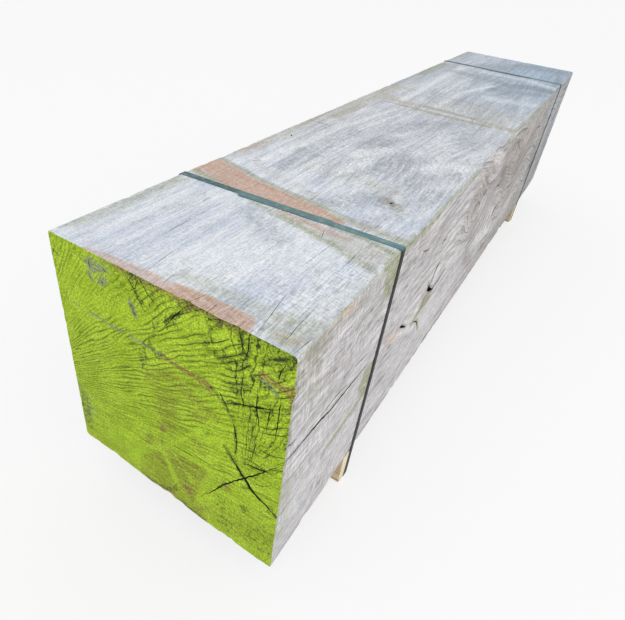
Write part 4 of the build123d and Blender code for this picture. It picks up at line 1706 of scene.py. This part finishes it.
def bandStations(run):
    # places of the band's middle line from its lower end to its upper end: x, y, z and the way out
    low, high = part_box(run["bearer"])
    footY = (low.y + high.y) / 2 / mm + band["fromBearerEdge"]
    leftY, rightY = footY + run["leanLeft"], footY + run["leanRight"]
    half = postSize.x / mm / 2
    top = topLevel / mm
    ground = low.z / mm
    bend, foot, counts = band["bend"], band["foot"], band["counts"]
    weld, lowerEnd, upperEnd = run["weld"], run["lowerEnd"], run["upperEnd"]

    def topY(x):
        return leftY + (rightY - leftY) * (x + half) / (2 * half)

    def shareOf(value):
        return min(1.0, max(0.0, value))

    out = []
    for x in np.linspace(lowerEnd, -half + bend, counts["lower"]):
        stray = band["lowerStray"] * shareOf((x - weld) / (lowerEnd - weld)) ** band["lowerCurl"]
        out.append((x, topY(x) + stray, top, 0, 1))
    out += quarterTurn(-half + bend, top - bend, bend, math.pi / 2, leftY, counts["bend"])
    for z in np.linspace(top - bend, ground + foot, counts["side"])[1:]:
        share = (z - ground) / (top - ground)
        out.append((-half, footY + run["leanLeft"] * share, z, -1, 0))
    out += quarterTurn(-half + foot, ground + foot, foot, math.pi, footY, counts["foot"])
    for x in np.linspace(-half + foot, half - foot, counts["ground"])[1:]:
        out.append((x, footY, ground, 0, -1))
    out += quarterTurn(half - foot, ground + foot, foot, math.pi * 1.5, footY, counts["foot"])
    for z in np.linspace(ground + foot, top - bend, counts["side"])[1:]:
        share = (z - ground) / (top - ground)
        bow = band["bow"] * math.sin(math.pi * share)
        out.append((half, footY + run["leanRight"] * share + bow, z, 1, 0))
    out += quarterTurn(half - bend, top - bend, bend, 0, rightY, counts["bend"])
    for x in np.linspace(half - bend, upperEnd, counts["upper"])[1:]:
        rise = band["layer"] * shareOf((lowerEnd + band["riseFrom"] - x) / band["riseOver"])
        stray = band["upperStray"] * shareOf((weld - x) / (weld - upperEnd)) ** band["upperCurl"]
        stray += band["lapShift"] * shareOf((lowerEnd + band["shiftFrom"] - x) / band["shiftOver"])
        out.append((x, topY(x) - stray, top + rise, 0, 1))
    return out


def makeStrapPlastic():
    material, tree, shader = plainMaterial("strapPlastic")
    place = bySize(tree, objectPlace(tree), (mm, mm, mm))
    run, across = layer(tree, "run"), layer(tree, "across")
    skyReflection, welded = layer(tree, "skyReflection"), layer(tree, "weld")
    rub = noiseAt(tree, bySize(tree, join(tree, run, across, 0.0), band["rub"]), 3.0, 0.6)
    dust = noiseAt(tree, bySize(tree, place, band["dust"]), 4.0, 0.65)
    leaning = (plus(tree, run, across), minus(tree, run, across))
    emboss = times(tree, *(calc(tree, "SINE", times(tree, way, band["ribs"])) for way in leaning))
    # painted reflection of the sky: the top of the band is lighter teal, the sides and underside stay dark
    fresh = blendColour(tree, skyReflection, band["fresh"], band["freshReflectingSky"])
    worn = blendColour(tree, skyReflection, band["worn"], band["wornReflectingSky"])
    shares = sharesOf(tree, band, {"rub": rub, "dust": dust, "skyReflection": skyReflection})
    colour = blendColour(tree, shares["worn"], fresh, worn)
    colour = blendColour(tree, shares["dusty"], colour, band["dustColour"])
    colour = blendColour(tree, times(tree, welded, band["weldShade"]), colour, band["weldColour"])
    height = plus(tree, times(tree, emboss, band["embossHeight"]), rub)
    finishSurface(tree, shader, colour, height, *band["bump"], shares["roughness"], gloss=band["gloss"])
    return material


def makeBand(name, run, material):
    stations = bandStations(run)
    half = band["width"] / 2
    bm = bmesh.new()
    shares = (-1.0, -0.5, 0.0, 0.5, 1.0)
    x, y, z = stations[0][:3]
    verts = [bm.verts.new((x * mm, (y + half * share) * mm, z * mm)) for share in shares]
    edges = [bm.edges.new(pair) for pair in zip(verts, verts[1:])]
    for x, y, z in [s[:3] for s in stations[1:]]:
        made = bmesh.ops.extrude_edge_only(bm, edges=edges)
        verts = [v for v in made["geom"] if isinstance(v, bmesh.types.BMVert)]
        verts.sort(key=lambda v: v.co.y)
        for vert, share in zip(verts, shares):
            vert.co = (x * mm, (y + half * share) * mm, z * mm)
        edges = [e for e in made["geom"] if isinstance(e, bmesh.types.BMEdge)]
    bmesh.ops.recalc_face_normals(bm, faces=bm.faces)
    lengths = [0.0]
    for a, b in zip(stations, stations[1:]):
        lengths.append(lengths[-1] + math.dist(a[:3], b[:3]))
    obj = meshObject(name + "Band", bm)
    mesh = obj.data
    values = {"run": [], "across": [], "weld": [], "skyReflection": []}
    # the painted sky reflection is full on the top, none on the sides and underside, and less on the single
    # part left of the lap
    for (x, _, _, _, wayUp), length in zip(stations, lengths):
        flat = wayUp == 1
        single = flat and x < run["upperEnd"] - band["margin"]
        welded = flat and -band["margin"] < x - run["weld"] < band["weldLength"]
        for share in shares:
            values["run"].append(length)
            values["across"].append(half * share)
            values["weld"].append(1.0 if welded else 0.0)
            values["skyReflection"].append(max(0.0, wayUp) * (band["singleSkyReflection"] if single else 1.0))
    for key, row in values.items():
        writeValues(mesh, key, row)
    outward = mesh.polygons[2].normal.z > 0
    wall = obj.modifiers.new("wall", "SOLIDIFY")
    wall.thickness = band["thickness"] * mm
    wall.offset = 1.0 if outward else -1.0
    edge = obj.modifiers.new("edge", "BEVEL")
    edge.width = band["edge"] * mm
    edge.segments = 2
    edge.limit_method = "ANGLE"
    applyAll(obj)
    obj.data.materials.append(material)
    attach(obj, "root")
    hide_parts(name)
    print(name, "made,", len(obj.data.polygons), "faces,", round(lengths[-1]), "mm long")


setCamera()
setStudio()
makePost()
softwood = makeBearerWood()
makeBearer(bearer["near"], softwood, 1.0)
makeBearer(bearer["far"], softwood, 7.0)
plastic = makeStrapPlastic()
makeBand("strap_near", band["near"], plastic)
makeBand("strap_far", band["far"], plastic)
